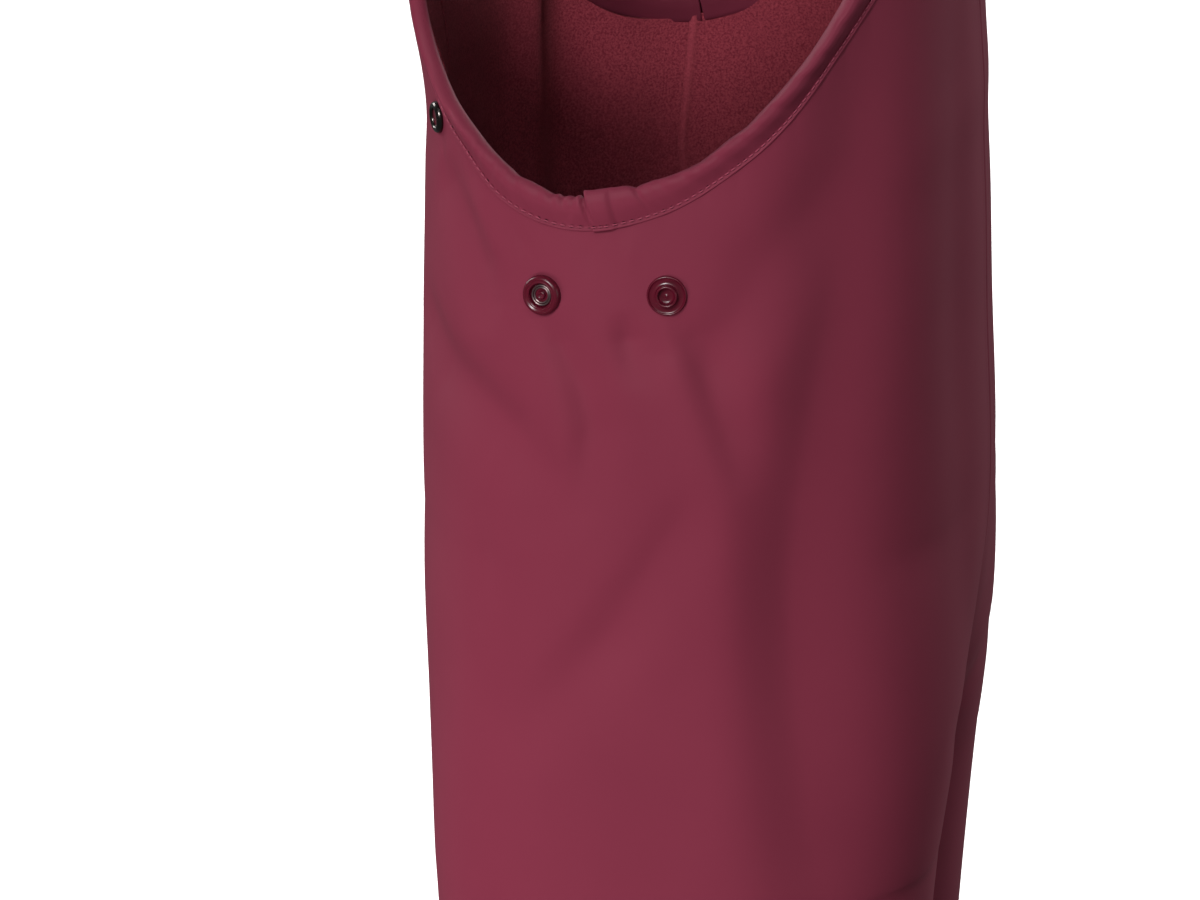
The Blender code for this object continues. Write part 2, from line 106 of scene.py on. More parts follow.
FOLDS = (
    # side (0 is both), then the fold's knots: around and height above the underarm, depth (a
    # negative depth is a ridge), half width on the path's right hand, half width on its left,
    # all in mm. Listed downwards, the right hand is the front. It fades out at a depth of 0.
    # Left side: the broad soft trough behind the snaps, from the casing down to the thigh.
    (1, ((272, 100, 2.0, 20, 20), (264, 62, 3.6, 22, 20), (258, 25, 5.2, 22, 20),
         (254, -10, 6.2, 21, 21), (251, -45, 6.8, 19, 22), (245, -75, 7.2, 19, 25),
         (239, -105, 7.4, 19, 28), (236, -135, 7.4, 17, 29), (235, -170, 7.2, 17, 29),
         (233, -240, 6.2, 17, 29), (233, -330, 2.5, 17, 23), (240, -430, 0, 18, 22))),
    # Left side: the slanting ridge and trough in it, below the casing.
    (1, ((205, -62, 0, 6, 6), (211, -58, -0.3, 7, 6), (220, -44, -0.4, 7, 6),
         (230, -27, -0.3, 7, 7), (242, -15, 0, 7, 7))),
    (1, ((200, -62, 0, 6, 6), (208, -56, 2.2, 10, 10), (216, -43, 3.3, 14, 14),
         (226, -26, 3.2, 15, 15), (238, -9, 2.4, 14, 14), (250, 10, 0, 12, 12))),
    # Left side: the crest that edges the trough.
    (1, ((188, -42, 0, 7, 6), (197, -58, -0.8, 8, 6), (205, -78, -1.0, 9, 6),
         (210, -104, -0.9, 9, 7), (212, -150, -0.7, 10, 8), (213, -240, -0.4, 10, 8),
         (213, -320, 0, 10, 8))),
    # Left side: in front of the arm, from the casing down to the front snap.
    (1, ((96, 0, 0, 9, 7), (102, -8, 2.4, 11, 8), (113, -20, 3.2, 11, 8), (121, -32, 2.9, 11, 8),
         (125, -44, 1.8, 10, 8), (126, -56, 0, 8, 6))),
    (1, ((113, -4, 0, 5, 5), (121, -12, -0.9, 5, 5), (130, -23, -0.9, 5, 5), (135, -34, 0, 5, 5))),
    (1, ((72, -50, 0, 12, 9), (84, -60, 2.6, 14, 10), (100, -71, 4.2, 15, 11),
         (118, -77, 4.4, 15, 11), (136, -86, 3.8, 14, 10), (149, -100, 2.4, 12, 9),
         (157, -124, 0, 12, 8))),
    # Left side: short pulls that run down from each snap.
    (1, ((150, -44, 0, 5, 8), (155, -53, 2.6, 5, 8), (162, -66, 3.4, 6, 9),
         (166, -81, 3.2, 6, 9), (164, -97, 2.0, 6, 9), (158, -118, 0, 6, 10))),
    (1, ((176, -40, 0, 4, 5), (178, -50, 2.6, 5, 6), (181, -68, 0, 4, 5))),
    (1, ((186, -44, 0, 5, 4), (188, -54, 1.3, 5, 5), (186, -70, 0, 6, 5))),
    (1, ((193, -38, 0, 5, 6), (199, -50, 2.8, 6, 10), (206, -66, 3.6, 6, 12), (212, -83, 2.8, 7, 12),
         (218, -104, 0, 8, 12))),
    # Left side: faint slanting and upright creases lower down.
    (1, ((205, -96, 0, 8, 12), (197, -113, 1.6, 8, 12), (184, -135, 2.2, 8, 13),
         (170, -154, 2.4, 7, 13), (156, -174, 2.0, 7, 13), (141, -202, 0, 8, 13))),
    (1, ((184, -148, 0, 4, 8), (172, -156, 0.9, 4, 8), (158, -168, 0, 4, 8))),
    (1, ((122, -112, 0, 6, 6), (124, -132, 0.8, 6, 6), (127, -158, 0, 6, 6))),
    (1, ((145, -98, 0, 6, 6), (147, -118, 0.8, 6, 6), (149, -140, 0, 6, 6))),
    (1, ((98, -140, 0, 10, 9), (104, -180, 0.6, 11, 10), (104, -240, 0, 11, 10))),
    # Left side: fine creases between the casing and the snaps.
    (1, ((136, -12, 0, 2, 2), (141, -20, 0.6, 2.2, 2.2), (145, -30, 0, 2.5, 2.5))),
    (1, ((165, -14, 0, 2, 2), (165, -21, 0.6, 2, 2), (166, -30, 0, 2, 2))),
    (1, ((178, -12, 0, 2.2, 2.2), (179, -20, -0.5, 2.2, 2.2), (180, -30, 0, 2.4, 2.4))),
    (1, ((93, 8, 0, 2.2, 2), (95, -1, 0.5, 2.2, 2), (96, -14, 0, 3, 3))),
    # Right side: the same kinds of folds, in places of their own, and a hollow in the lining
    # where the cloth stands out beside the bib.
    (-1, ((110, 62, -4.0, 10, 10), (114, 20, -6.5, 11, 10), (117, -25, -7.5, 11, 10),
          (118, -80, -6.0, 11, 10), (115, -170, 0, 12, 12))),
    (-1, ((268, 96, 1.5, 18, 20), (254, 58, 3.5, 18, 20), (245, 20, 5.5, 18, 20),
          (238, -20, 7.0, 18, 20), (233, -60, 7.2, 18, 20), (231, -100, 6.0, 15, 20),
          (234, -150, 5.5, 13, 21), (240, -220, 4.0, 14, 22), (244, -310, 2.0, 16, 22),
          (244, -400, 0, 18, 22))),
    (-1, ((202, -50, 0, 7, 7), (210, -34, 1.4, 8, 8), (223, -16, 1.2, 8, 8), (238, 2, 0, 9, 9))),
    (-1, ((190, -44, 0, 7, 6), (201, -70, -1.0, 9, 6), (206, -110, -0.8, 10, 7),
          (209, -190, -0.4, 10, 8), (210, -270, 0, 10, 8))),
    (-1, ((106, -2, 0, 7, 5), (116, -14, 1.4, 8, 5), (126, -30, 1.3, 8, 5), (129, -52, 0, 8, 5))),
    (-1, ((78, -58, 0, 12, 9), (96, -66, 1.5, 14, 9), (120, -78, 1.9, 14, 9),
          (142, -94, 1.3, 12, 8), (152, -124, 0, 12, 8))),
    (-1, ((155, -46, 0, 6, 9), (166, -62, 1.0, 6, 10), (170, -86, 0.9, 6, 10),
          (160, -118, 0, 6, 10))),
    (-1, ((176, -44, 0, 4, 5), (179, -54, 0.7, 4, 5), (180, -72, 0, 4, 5))),
    (-1, ((194, -112, 0, 8, 12), (176, -136, 1.0, 8, 13), (156, -158, 0.9, 8, 13),
          (140, -190, 0, 8, 13))),
    # Both sides: slack in the bib and across the back, faint and upright.
    (1, ((40, 70, 0, 14, 14), (44, 30, 0.9, 14, 14), (50, -30, 1.3, 16, 15), (54, -110, 0.8, 16, 16),
         (54, -190, 0, 16, 16))),
    (-1, ((30, 72, 0, 12, 14), (38, 26, 1.1, 14, 14), (46, -40, 1.2, 15, 15),
          (52, -150, 0, 16, 16))),
    (1, ((330, 80, 0, 18, 16), (326, 20, 1.8, 20, 18), (322, -60, 2.4, 20, 18),
         (324, -150, 1.4, 20, 18), (326, -230, 0, 20, 18))),
    (-1, ((338, 70, 0, 18, 16), (330, 0, 1.9, 20, 18), (326, -80, 2.1, 20, 18),
          (330, -170, 1.0, 20, 18), (330, -240, 0, 20, 18))),
    # Both sides: creases that spread from the crotch over the thigh, front then back.
    (1, ((8, -262, 0, 6, 7), (22, -246, 1.7, 7, 8), (40, -228, 1.7, 8, 9), (68, -206, 0, 9, 10))),
    (-1, ((8, -258, 0, 6, 7), (26, -240, 1.9, 7, 8), (48, -216, 1.3, 8, 9), (72, -190, 0, 9, 10))),
    (0, ((9, -288, 0, 6, 7), (30, -278, 1.5, 8, 8), (54, -270, 1.2, 8, 9), (88, -262, 0, 9, 10))),
    (1, ((368, -262, 0, 8, 7), (350, -244, 2.1, 9, 8), (326, -226, 1.8, 10, 9),
         (292, -208, 0, 10, 10))),
    (-1, ((368, -268, 0, 8, 7), (344, -246, 2.3, 9, 8), (312, -226, 1.6, 10, 9),
          (282, -214, 0, 10, 10))),
    (0, ((369, -296, 0, 8, 7), (345, -286, 2.3, 9, 8), (315, -276, 1.8, 10, 9),
         (276, -268, 0, 10, 10))),
    # Both sides: behind and beside the knee.
    (1, ((366, -428, 0, 8, 8), (340, -436, 2.3, 9, 9), (306, -444, 2.2, 9, 9),
         (262, -440, 0, 10, 10))),
    (1, ((372, -470, 0, 8, 8), (340, -470, 1.8, 9, 9), (300, -462, 1.8, 9, 9),
         (246, -466, 0, 10, 10))),
    (-1, ((364, -436, 0, 8, 8), (334, -446, 2.5, 9, 9), (296, -450, 1.9, 9, 9),
          (256, -440, 0, 10, 10))),
    (-1, ((368, -400, 0, 8, 8), (340, -406, 1.6, 9, 9), (306, -412, 1.5, 9, 9),
          (270, -410, 0, 10, 10))),
    (0, ((30, -452, 0, 9, 9), (58, -462, 1.0, 10, 10), (96, -462, 0.9, 10, 10),
         (132, -452, 0, 10, 10))),
    # Both sides: long slack down the leg and a soft break above the hem.
    (1, ((150, -330, 0, 16, 16), (146, -420, 1.1, 16, 16), (150, -520, 1.3, 16, 16),
         (152, -640, 0, 16, 16))),
    (-1, ((170, -350, 0, 16, 16), (176, -450, 1.2, 16, 16), (172, -560, 1.1, 16, 16),
          (170, -650, 0, 16, 16))),
    (0, ((232, -480, 0, 14, 18), (236, -560, 1.5, 15, 18), (238, -640, 0.8, 16, 18),
         (238, -690, 0, 16, 18))),
    (0, ((62, -520, 0, 15, 15), (64, -600, 1.2, 15, 15), (66, -680, 0.4, 15, 15),
         (66, -700, 0, 15, 15))),
    (1, ((196, -628, 0, 8, 8), (240, -640, 1.3, 9, 9), (290, -636, 1.2, 9, 9),
         (330, -624, 0, 9, 9))),
    (-1, ((210, -640, 0, 8, 8), (256, -648, 1.4, 9, 9), (304, -640, 1.1, 9, 9),
          (340, -630, 0, 9, 9))),
)

DIMPLES = (
    # around and height above the underarm, depth, half width, in mm: pressed in by each snap
    (148.6, -37.0, 0.55, 10.0),
    (191.2, -34.2, 0.60, 10.5),
    (90.1, 11.1, 0.40, 8.0),
    (54.0, 71.0, 0.30, 8.0),
)

PULLS = (
    # way along the finished edge from under the arm (forward is negative), lean over its
    # length, half width, depth and length, in mm: short puckers drawn in by the casing's seam
    (-196, 1, 1.6, 0.20, 8), (-181, -2, 1.8, 0.25, 10), (-168, 2, 1.6, 0.20, 8),
    (-150, 1, 2.0, 0.25, 10), (-137, -2, 1.6, 0.22, 8), (-121, 2, 1.8, 0.25, 11),
    (-107, -1, 1.6, 0.20, 8), (-93, 2, 1.8, 0.22, 10), (-78, 2, 1.6, 0.25, 9),
    (-64, 3, 2.0, 0.20, 12), (-51, 3, 1.6, 0.22, 8), (-39, 3, 1.8, 0.25, 11),
    (-17, 2, 1.5, 0.25, 9), (-6, 1, 1.4, 0.22, 7), (8, 0, 1.5, 0.25, 9),
    (21, 1, 1.8, 0.22, 10), (33, 2, 1.5, 0.25, 8), (47, 2, 1.8, 0.25, 11),
    (60, 3, 1.6, 0.20, 9), (72, 3, 2.0, 0.22, 12), (88, 2, 1.6, 0.25, 9),
    (103, 2, 1.8, 0.22, 10), (119, 1, 1.6, 0.25, 9), (137, 2, 1.8, 0.20, 11),
    (152, 0, 1.6, 0.25, 9), (169, 1, 1.8, 0.22, 10), (186, -1, 1.6, 0.25, 8),
    (204, 1, 1.8, 0.22, 10), (222, 0, 1.6, 0.22, 9), (240, 1, 1.8, 0.20, 9),
)


def smooth(table, column, at):
    """A table's column read at a height or distance: cubic Hermite through its rows, with the
    slopes taken from the neighbouring rows."""
    rows = np.array(table)
    rows = rows[np.argsort(rows[:, 0])]
    x, y = rows[:, 0], rows[:, column]
    slope = np.gradient(y, x)
    at = np.clip(at, x[0], x[-1])
    k = np.clip(np.searchsorted(x, at) - 1, 0, len(x) - 2)
    step = x[k + 1] - x[k]
    t = (at - x[k]) / step
    near = (1 + 2 * t) * (1 - t) ** 2 * y[k] + t * (1 - t) ** 2 * step * slope[k]
    far = t**2 * (3 - 2 * t) * y[k + 1] - t**2 * (1 - t) * step * slope[k + 1]
    return near + far


def rounded(turn, power):
    """Superellipse: signed powers 2/n of the cosine and sine of a turn from the side."""
    cos, sin = np.cos(turn), np.sin(turn)
    across = np.sign(cos) * np.abs(cos) ** (2 / power)
    return across, np.sign(sin) * np.abs(sin) ** (2 / power)


def measure_around():
    """Length round the underarm section, summed chord by chord, against its turn."""
    turn = np.linspace(-np.pi / 2, np.pi / 2, 4001)
    across, along = rounded(turn, smooth(SQUARENESS, 1, UNDERARM_Z))
    x = smooth(SECTIONS, 1, UNDERARM_Z) * across
    front, back = smooth(SECTIONS, 3, UNDERARM_Z), smooth(SECTIONS, 4, UNDERARM_Z)
    y = np.where(turn < 0, front, back) * along
    way = np.concatenate([[0], np.cumsum(np.hypot(np.diff(x), np.diff(y)))])
    return turn / (np.pi / 2), way


TURN_SHARES, WAY_ROUND = measure_around()
HALF_GIRTH = WAY_ROUND[-1]


def bare_form(around, z):
    """The left half's outer face with no folds: at each height an arc of a superellipse, a
    quarter turn each way in the trunk and half a turn each way in the leg."""
    power = smooth(SQUARENESS, 1, z)
    up = np.clip((z - CROTCH_Z) / CROTCH_RISE, 0, 1)
    reach = np.sqrt(1 - (1 - up) ** 3)
    last = np.pi - np.arcsin(np.clip(reach, 0.002, 1) ** (power / 2))
    turn = np.interp(around, WAY_ROUND, TURN_SHARES) * last
    across, along = rounded(turn, power)
    outer, inner = smooth(SECTIONS, 1, z), smooth(SECTIONS, 2, z) + SEAM_GAP / 2
    half_width = (outer - inner) / (1 - rounded(last, power)[0])
    depth = np.where(turn < 0, smooth(SECTIONS, 3, z), smooth(SECTIONS, 4, z))
    return np.stack([outer - half_width * (1 - across), depth * along, z], -1)


def outward(around, z):
    """Unit normals of the bare form: the cross product of its slopes both ways."""
    step = 0.8 * MM
    low, high = np.clip(around - step, 0, HALF_GIRTH), np.clip(around + step, 0, HALF_GIRTH)
    round_it = bare_form(high, z) - bare_form(low, z)
    up_it = bare_form(around, z + step) - bare_form(around, z - step)
    normal = np.cross(round_it, up_it)
    return normal / np.linalg.norm(normal, axis=-1, keepdims=True)


def fold_depth(around, z, side, table):
    """How far the folds press the cloth in: each is a bell curve of the distance from the
    nearest point of its path, with the depth and widths interpolated between its knots."""
    total = np.zeros(np.shape(around))
    at = np.stack([around, z - UNDERARM_Z], -1) / MM
    for where, path in table:
        if where not in (0, side):
            continue
        knots = np.array(path, float)
        lead = np.diff(knots[:, :2], axis=0)
        off = at[..., None, :] - knots[:-1, :2]
        share = np.clip((off * lead).sum(-1) / (lead**2).sum(-1), 0, 1)
        off = off - share[..., None] * lead
        turned = lead[:, 0] * off[..., 1] - lead[:, 1] * off[..., 0]
        far = np.linalg.norm(off, axis=-1)
        near = np.argmin(far, -1)
        pick = near[..., None]
        share, far, turned = (np.take_along_axis(v, pick, -1)[..., 0] for v in (share, far, turned))
        read = knots[near, 2:] + share[..., None] * (knots[near + 1, 2:] - knots[near, 2:])
        width = np.where(turned > 0, read[..., 2], read[..., 1])
        total += read[..., 0] * np.exp(-((far / width) ** 2))
    return total * MM


def dimple_depth(around, z):
    """How far the snaps press the cloth in: a bell curve round each."""
    total = 0.0
    for centre, height, depth, width in DIMPLES:
        far = np.hypot(around / MM - centre, (z - UNDERARM_Z) / MM - height)
        total = total + depth * np.exp(-((far / width) ** 2))
    return total * MM


def place(around, z, out, side):
    """Points on the garment: the bare form moved along its normals by `out` less the folds'
    depth, and mirrored for the wearer's right."""
    around, z = np.broadcast_arrays(np.asarray(around, float), np.asarray(z, float))
    move = out - fold_depth(around, z, side, FOLDS) - dimple_depth(around, z)
    points = bare_form(around, z) + outward(around, z) * move[..., None]
    return points * np.array([side, 1, 1])


def top_edge(share):
    """(around, height) of the finished edge at a share of its length, and the unit direction
    that runs down from it in that plane."""
    knots = np.array(TOP_EDGE) * [HALF_GIRTH / TOP_EDGE[-1][0], 1]
    chord = np.concatenate([[0], np.cumsum(np.linalg.norm(np.diff(knots, axis=0), axis=1))])
    table = np.column_stack([chord, knots])
    at = np.asarray(share, float) * chord[-1]
    edge = np.stack([smooth(table, 1, at), smooth(table, 2, at)], -1)
    ahead = np.stack([smooth(table, 1, at + MM), smooth(table, 2, at + MM)], -1)
    behind = np.stack([smooth(table, 1, at - MM), smooth(table, 2, at - MM)], -1)
    along = ahead - behind
    along /= np.linalg.norm(along, axis=-1, keepdims=True)
    return edge, np.stack([along[..., 1], -along[..., 0]], -1)


def edge_line(share, below):
    """(around, z) on a line that runs `below` the finished edge."""
    edge, down = top_edge(share)
    edge = edge + down * np.asarray(below)[..., None]
    return np.clip(edge[..., 0], 0, HALF_GIRTH), edge[..., 1] + UNDERARM_Z


CASING_JOIN = 0.1675  # around: where the two casings meet under the arm, and the lining's seam
SEAM_BASE = 0.1605  # around: the lining's seam from TRUNK_BASE_Z down
fine = np.linspace(0, 1, 4001)
JOIN_SHARE = float(np.interp(CASING_JOIN, top_edge(fine)[0][:, 0], fine))
EDGE_LENGTH = float(np.linalg.norm(np.diff(top_edge(fine)[0], axis=0), axis=1).sum())


def panel_lines(shares, hem_z, leg_rows):
    """A panel's mesh lines: rows from the hem up to the casing, close together at the hem and
    round the crotch, columns that fan out to follow the finished edge. Gives (around, z) and
    the way along the edge and below it in mm."""
    hem = hem_z + MM * np.array([0, 0.6, 1.5, 3, 6, 9, 12, 13.5, 14.3, 15, 15.7, 16.5, 18])
    legs = np.linspace(hem_z + 24 * MM, CROTCH_Z - 4 * MM, leg_rows)
    crotch = CROTCH_Z + CROTCH_RISE * (1 - np.cos(np.linspace(0, np.pi / 2, 28)))
    trunk = np.linspace(CROTCH_Z + CROTCH_RISE, TRUNK_BASE_Z, 29)[1:-1]
    low_z = np.concatenate([hem, legs, crotch, trunk])[:, None]
    base = np.interp(shares, (0, JOIN_SHARE, 1), (0, SEAM_BASE, HALF_GIRTH))
    top_around, top_z = edge_line(shares, CASING_WIDTH - 2 * MM)
    up = np.sin(np.linspace(0, np.pi / 2, 48))[:, None] ** 1.15
    around = np.vstack([np.broadcast_to(base, (len(low_z), len(base))),
                        base + up * (top_around - base)])
    z = np.vstack([np.broadcast_to(low_z, (len(low_z), len(base))),
                   TRUNK_BASE_Z + up * (top_z - TRUNK_BASE_Z)])
    below = CASING_WIDTH / MM - 2 + np.hypot(around - top_around, z - top_z) / MM
    along = np.broadcast_to((shares - JOIN_SHARE) * EDGE_LENGTH / MM, around.shape)
    return around, z, along, below


def pull_depth(along, below, side):
    """Short puckers below the casing: bells across leaning lines that die away downwards."""
    total = np.zeros(np.shape(along))
    down = np.clip(below - CASING_WIDTH / MM, 0, None)
    for at, lean, width, depth, length in PULLS:
        line = at * (1 if side > 0 else 1.04) + lean * down / length
        total += depth * np.exp(-(((along - line) / width) ** 2) - (down / length) ** 2)
    return total * MM


def seam_depth(around, z):
    """The welded centre seam and the turned hem: a groove 1 mm wide along the seam between
    faintly raised allowances, and a line of stitching 15 mm above the hem."""
    near = np.minimum(around, HALF_GIRTH - around) / MM
    groove = 0.45 * np.exp(-((near / 0.9) ** 2)) - 0.20 * np.exp(-(((near - 3.2) / 2.4) ** 2))
    above = (z - HEM_Z) / MM
    stitched = 0.5 * np.exp(-(((above - 15) / 0.9) ** 2)) - 0.3 / (1 + np.exp((above - 14) / 0.8))
    return (groove + stitched) * MM


def wall_mesh(name, outer, inner, side):
    """A closed wall between two grids of points, rows by columns, with four-sided faces. On
    the wearer's right the faces are turned over, as the points are mirrored."""
    rows, columns = outer.shape[:2]
    index = np.arange(rows * columns).reshape(rows, columns)
    corners = [index[:-1, :-1], index[:-1, 1:], index[1:, 1:], index[1:, :-1]]
    skin = np.stack(corners, -1).reshape(-1, 4)
    under = skin[:, ::-1] + rows * columns
    rim = np.concatenate([index[0], index[1:, -1], index[-1, -2::-1], index[-2:0:-1, 0]])
    after = np.roll(rim, -1)
    edge = np.stack([after, rim, rim + rows * columns, after + rows * columns], -1)
    faces = np.concatenate([skin, under, edge])
    if side < 0:
        faces = faces[:, ::-1]
    return quad_mesh(name, np.concatenate([outer.reshape(-1, 3), inner.reshape(-1, 3)]), faces)


def quad_mesh(name, points, faces):
    """A mesh from whole arrays of points and of four-sided faces."""
    mesh = bpy.data.meshes.new(name)
    mesh.vertices.add(len(points))
    mesh.vertices.foreach_set("co", points.astype(np.float32).ravel())
    mesh.loops.add(faces.size)
    mesh.loops.foreach_set("vertex_index", faces.astype(np.int32).ravel())
    mesh.polygons.add(len(faces))
    mesh.polygons.foreach_set("loop_start", np.arange(0, faces.size, 4, dtype=np.int32))
    mesh.update(calc_edges=True)
    return mesh


def add_piece(name, mesh, finish, slot, *nodes):
    """Puts a finished mesh in the scene with its material, in place of its CAD nodes."""
    mesh.shade_smooth()
    mesh.materials.append(finish)
    piece = bpy.data.objects.new(name, mesh)
    bpy.context.scene.collection.objects.link(piece)
    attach(piece, "root")
    if nodes:
        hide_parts(*nodes)
    return piece


def linear(hex_colour):
    """sRGB hex to linear: the standard curve, a power of 2.4 above its short straight foot."""
    parts = np.array([int(hex_colour[k : k + 2], 16) for k in (1, 3, 5)]) / 255
    made = np.where(parts <= 0.04045, parts / 12.92, ((parts + 0.055) / 1.055) ** 2.4)
    return (*[float(part) for part in made], 1.0)


def add_node(tree, kind, settings=(), links=()):
    """Adds a shader node, sets its properties or inputs by name, and links inputs to outputs."""
    node = tree.nodes.new(kind)
    for key, value in dict(settings).items():
        if key in node.inputs:
            node.inputs[key].default_value = value
        else:
            setattr(node, key, value)
    for socket, output in dict(links).items():
        tree.links.new(output, node.inputs[socket])
    return node


def new_finish(name, settings):
    """A material with one Principled shader, and its tree and shader for adding detail."""
    made = bpy.data.materials.new(name)
    made.use_nodes = True
    shader = made.node_tree.nodes["Principled BSDF"]
    for key, value in settings.items():
        shader.inputs[key].default_value = value
    return made, made.node_tree, shader


def coated_cloth(name, light, dark):
    """Polyurethane-coated polyester: a smooth matt-satin skin with a faint even grain."""
    made, tree, shader = new_finish(
        name, {"Roughness": 0.58, "IOR": 1.45, "Specular IOR Level": 0.12}
    )
    where = add_node(tree, "ShaderNodeTexCoord").outputs["Object"]
    # Cloudy differences in the coating, about 60 mm across and hardly to be seen.
    clouds = add_node(tree, "ShaderNodeTexNoise", {"Scale": 16.0, "Detail": 3.0}, {"Vector": where})
    ramp = add_node(tree, "ShaderNodeValToRGB", {}, {"Fac": clouds.outputs["Fac"]})
    ramp.color_ramp.elements[0].position = 0.35
    ramp.color_ramp.elements[0].color = linear(dark)
    ramp.color_ramp.elements[1].position = 0.65
    ramp.color_ramp.elements[1].color = linear(light)
    tree.links.new(ramp.outputs["Color"], shader.inputs["Base Color"])
    # The knit behind the coating prints through as a grain of 0.9 mm.
    grain = add_node(tree, "ShaderNodeTexNoise", {"Scale": 1100.0, "Detail": 2.0}, {"Vector": where})
    bump = add_node(tree, "ShaderNodeBump", {"Strength": 0.04, "Distance": 0.0003},
                    {"Height": grain.outputs["Fac"]})
    tree.links.new(bump.outputs["Normal"], shader.inputs["Normal"])
    return made


rain_cloth = coated_cloth("pu_coated_rain_cloth", *CLOTH_COLOURS)

ends = MM * np.array([0, 0.5, 1.0, 1.7, 2.6, 4.0, 6.0]) / HALF_GIRTH
all_shares = np.concatenate([ends, np.linspace(ends[-1], 1 - ends[-1], 238)[1:-1], 1 - ends[::-1]])
for hand, side in HANDS:
    around, z, along, below = panel_lines(all_shares, HEM_Z, 62)
    sunk = seam_depth(around, z) + pull_depth(along, below, side)
    face = place(around, z, -sunk, side)
    back = place(around, z, -OUTER_WALL, side)
    mesh = wall_mesh(f"rain_cloth_{hand}", face, back, side)
    half = add_piece(f"rain_cloth_{hand}", mesh, rain_cloth, "coated_cloth", f"outer_{hand}")

# ---- Fleece lining -------------------------------------------------------------------------
# Polyester fleece with a short brushed nap, in four panels joined under each arm and along the
# centre. It hangs a little fuller than the outer cloth, so it folds by itself on the inside.
LINING_WALL = 0.0016
LINING_HEM_Z = HEM_Z + 0.012
SEAM_RIDGE = 0.8 * MM  # how far the sewn-down side seam stands in
SEAM_SHIFT = 4.8 * MM  # how far forward the right one hangs at its top

LINING_FOLDS = (
    # As FOLDS, but how far the lining stands in from the outer cloth, so all are ridges.
    # Right side: the rounded fold beside the bib, and the fuller stretches before the seam
    # and behind it.
    (-1, ((90, 80, 4.0, 11, 10), (91, 20, 5.5, 11, 10), (92, -25, 6.0, 11, 10),
          (91, -80, 5.0, 12, 11), (87, -170, 0, 14, 14))),
    (-1, ((136, 10, 3.2, 11, 16), (136, -40, 4.0, 11, 16), (134, -90, 3.0, 12, 15),
          (132, -170, 0, 14, 14))),
    (-1, ((196, 20, 0.6, 14, 16), (194, -40, 1.2, 14, 16), (190, -90, 0.6, 14, 16),
          (190, -150, 0, 14, 16))),
    # Left side: the same fold beside the bib, and slack behind it.
    (1, ((86, 60, 2.0, 11, 10), (84, 0, 3.2, 12, 11), (80, -60, 2.6, 12, 11),
         (78, -140, 0, 12, 12))),
    (1, ((140, -20, 0, 12, 12), (140, -60, 1.6, 12, 12), (138, -140, 0, 12, 12))),
)


def brushed_fleece(name):
    """Polyester fleece: short nap in soft tufts, coloured lighter at their tips as painted highlight
    and darker between them as painted shade, over the nap's own uneven tone. The seam allowance,
    marked by an attribute, is flatter, and a little lighter as a painted highlight."""
    made, tree, shader = new_finish(
        name, {"Roughness": 0.95, "Specular IOR Level": 0.10, "Sheen Weight": 0.12,
               "Sheen Roughness": 0.6, "Sheen Tint": linear("#c87078")}
    )
    where = add_node(tree, "ShaderNodeTexCoord").outputs["Object"]
    pressed = add_node(tree, "ShaderNodeAttribute", {"attribute_name": "pressed"}).outputs["Fac"]
    # Tufts of about 0.8 mm, lighter at the tips as painted highlight, and the loose fibre ends between
    # them, darker as painted shade.
    tufts = add_node(tree, "ShaderNodeTexNoise", {"Scale": 1250.0, "Detail": 3.0,
                                                  "Roughness": 0.62}, {"Vector": where})
    ramp = add_node(tree, "ShaderNodeValToRGB", {}, {"Fac": tufts.outputs["Fac"]})
    ramp.color_ramp.elements[0].position = 0.36
    ramp.color_ramp.elements[0].color = linear("#601d29")
    ramp.color_ramp.elements[1].position = 0.66
    ramp.color_ramp.elements[1].color = linear("#82323d")
    # Painted highlight: where the seam stands in, its colour is mixed towards a lighter red.
    share = add_node(tree, "ShaderNodeMath", {"operation": "MULTIPLY"}, {0: pressed})
    share.inputs[1].default_value = 0.4
    flat = add_node(tree, "ShaderNodeMix", {"data_type": "RGBA"}, {"Factor": share.outputs[0]})
    tree.links.new(ramp.outputs["Color"], flat.inputs[6])
    flat.inputs[7].default_value = linear("#8a3843")
    tree.links.new(flat.outputs[2], shader.inputs["Base Color"])
    strength = add_node(tree, "ShaderNodeMapRange", {"To Min": 0.75, "To Max": 0.5},
                        {"Value": pressed})
    bump = add_node(tree, "ShaderNodeBump", {"Distance": 0.0006},
                    {"Height": tufts.outputs["Fac"], "Strength": strength.outputs["Result"]})
    tree.links.new(bump.outputs["Normal"], shader.inputs["Normal"])
    return made


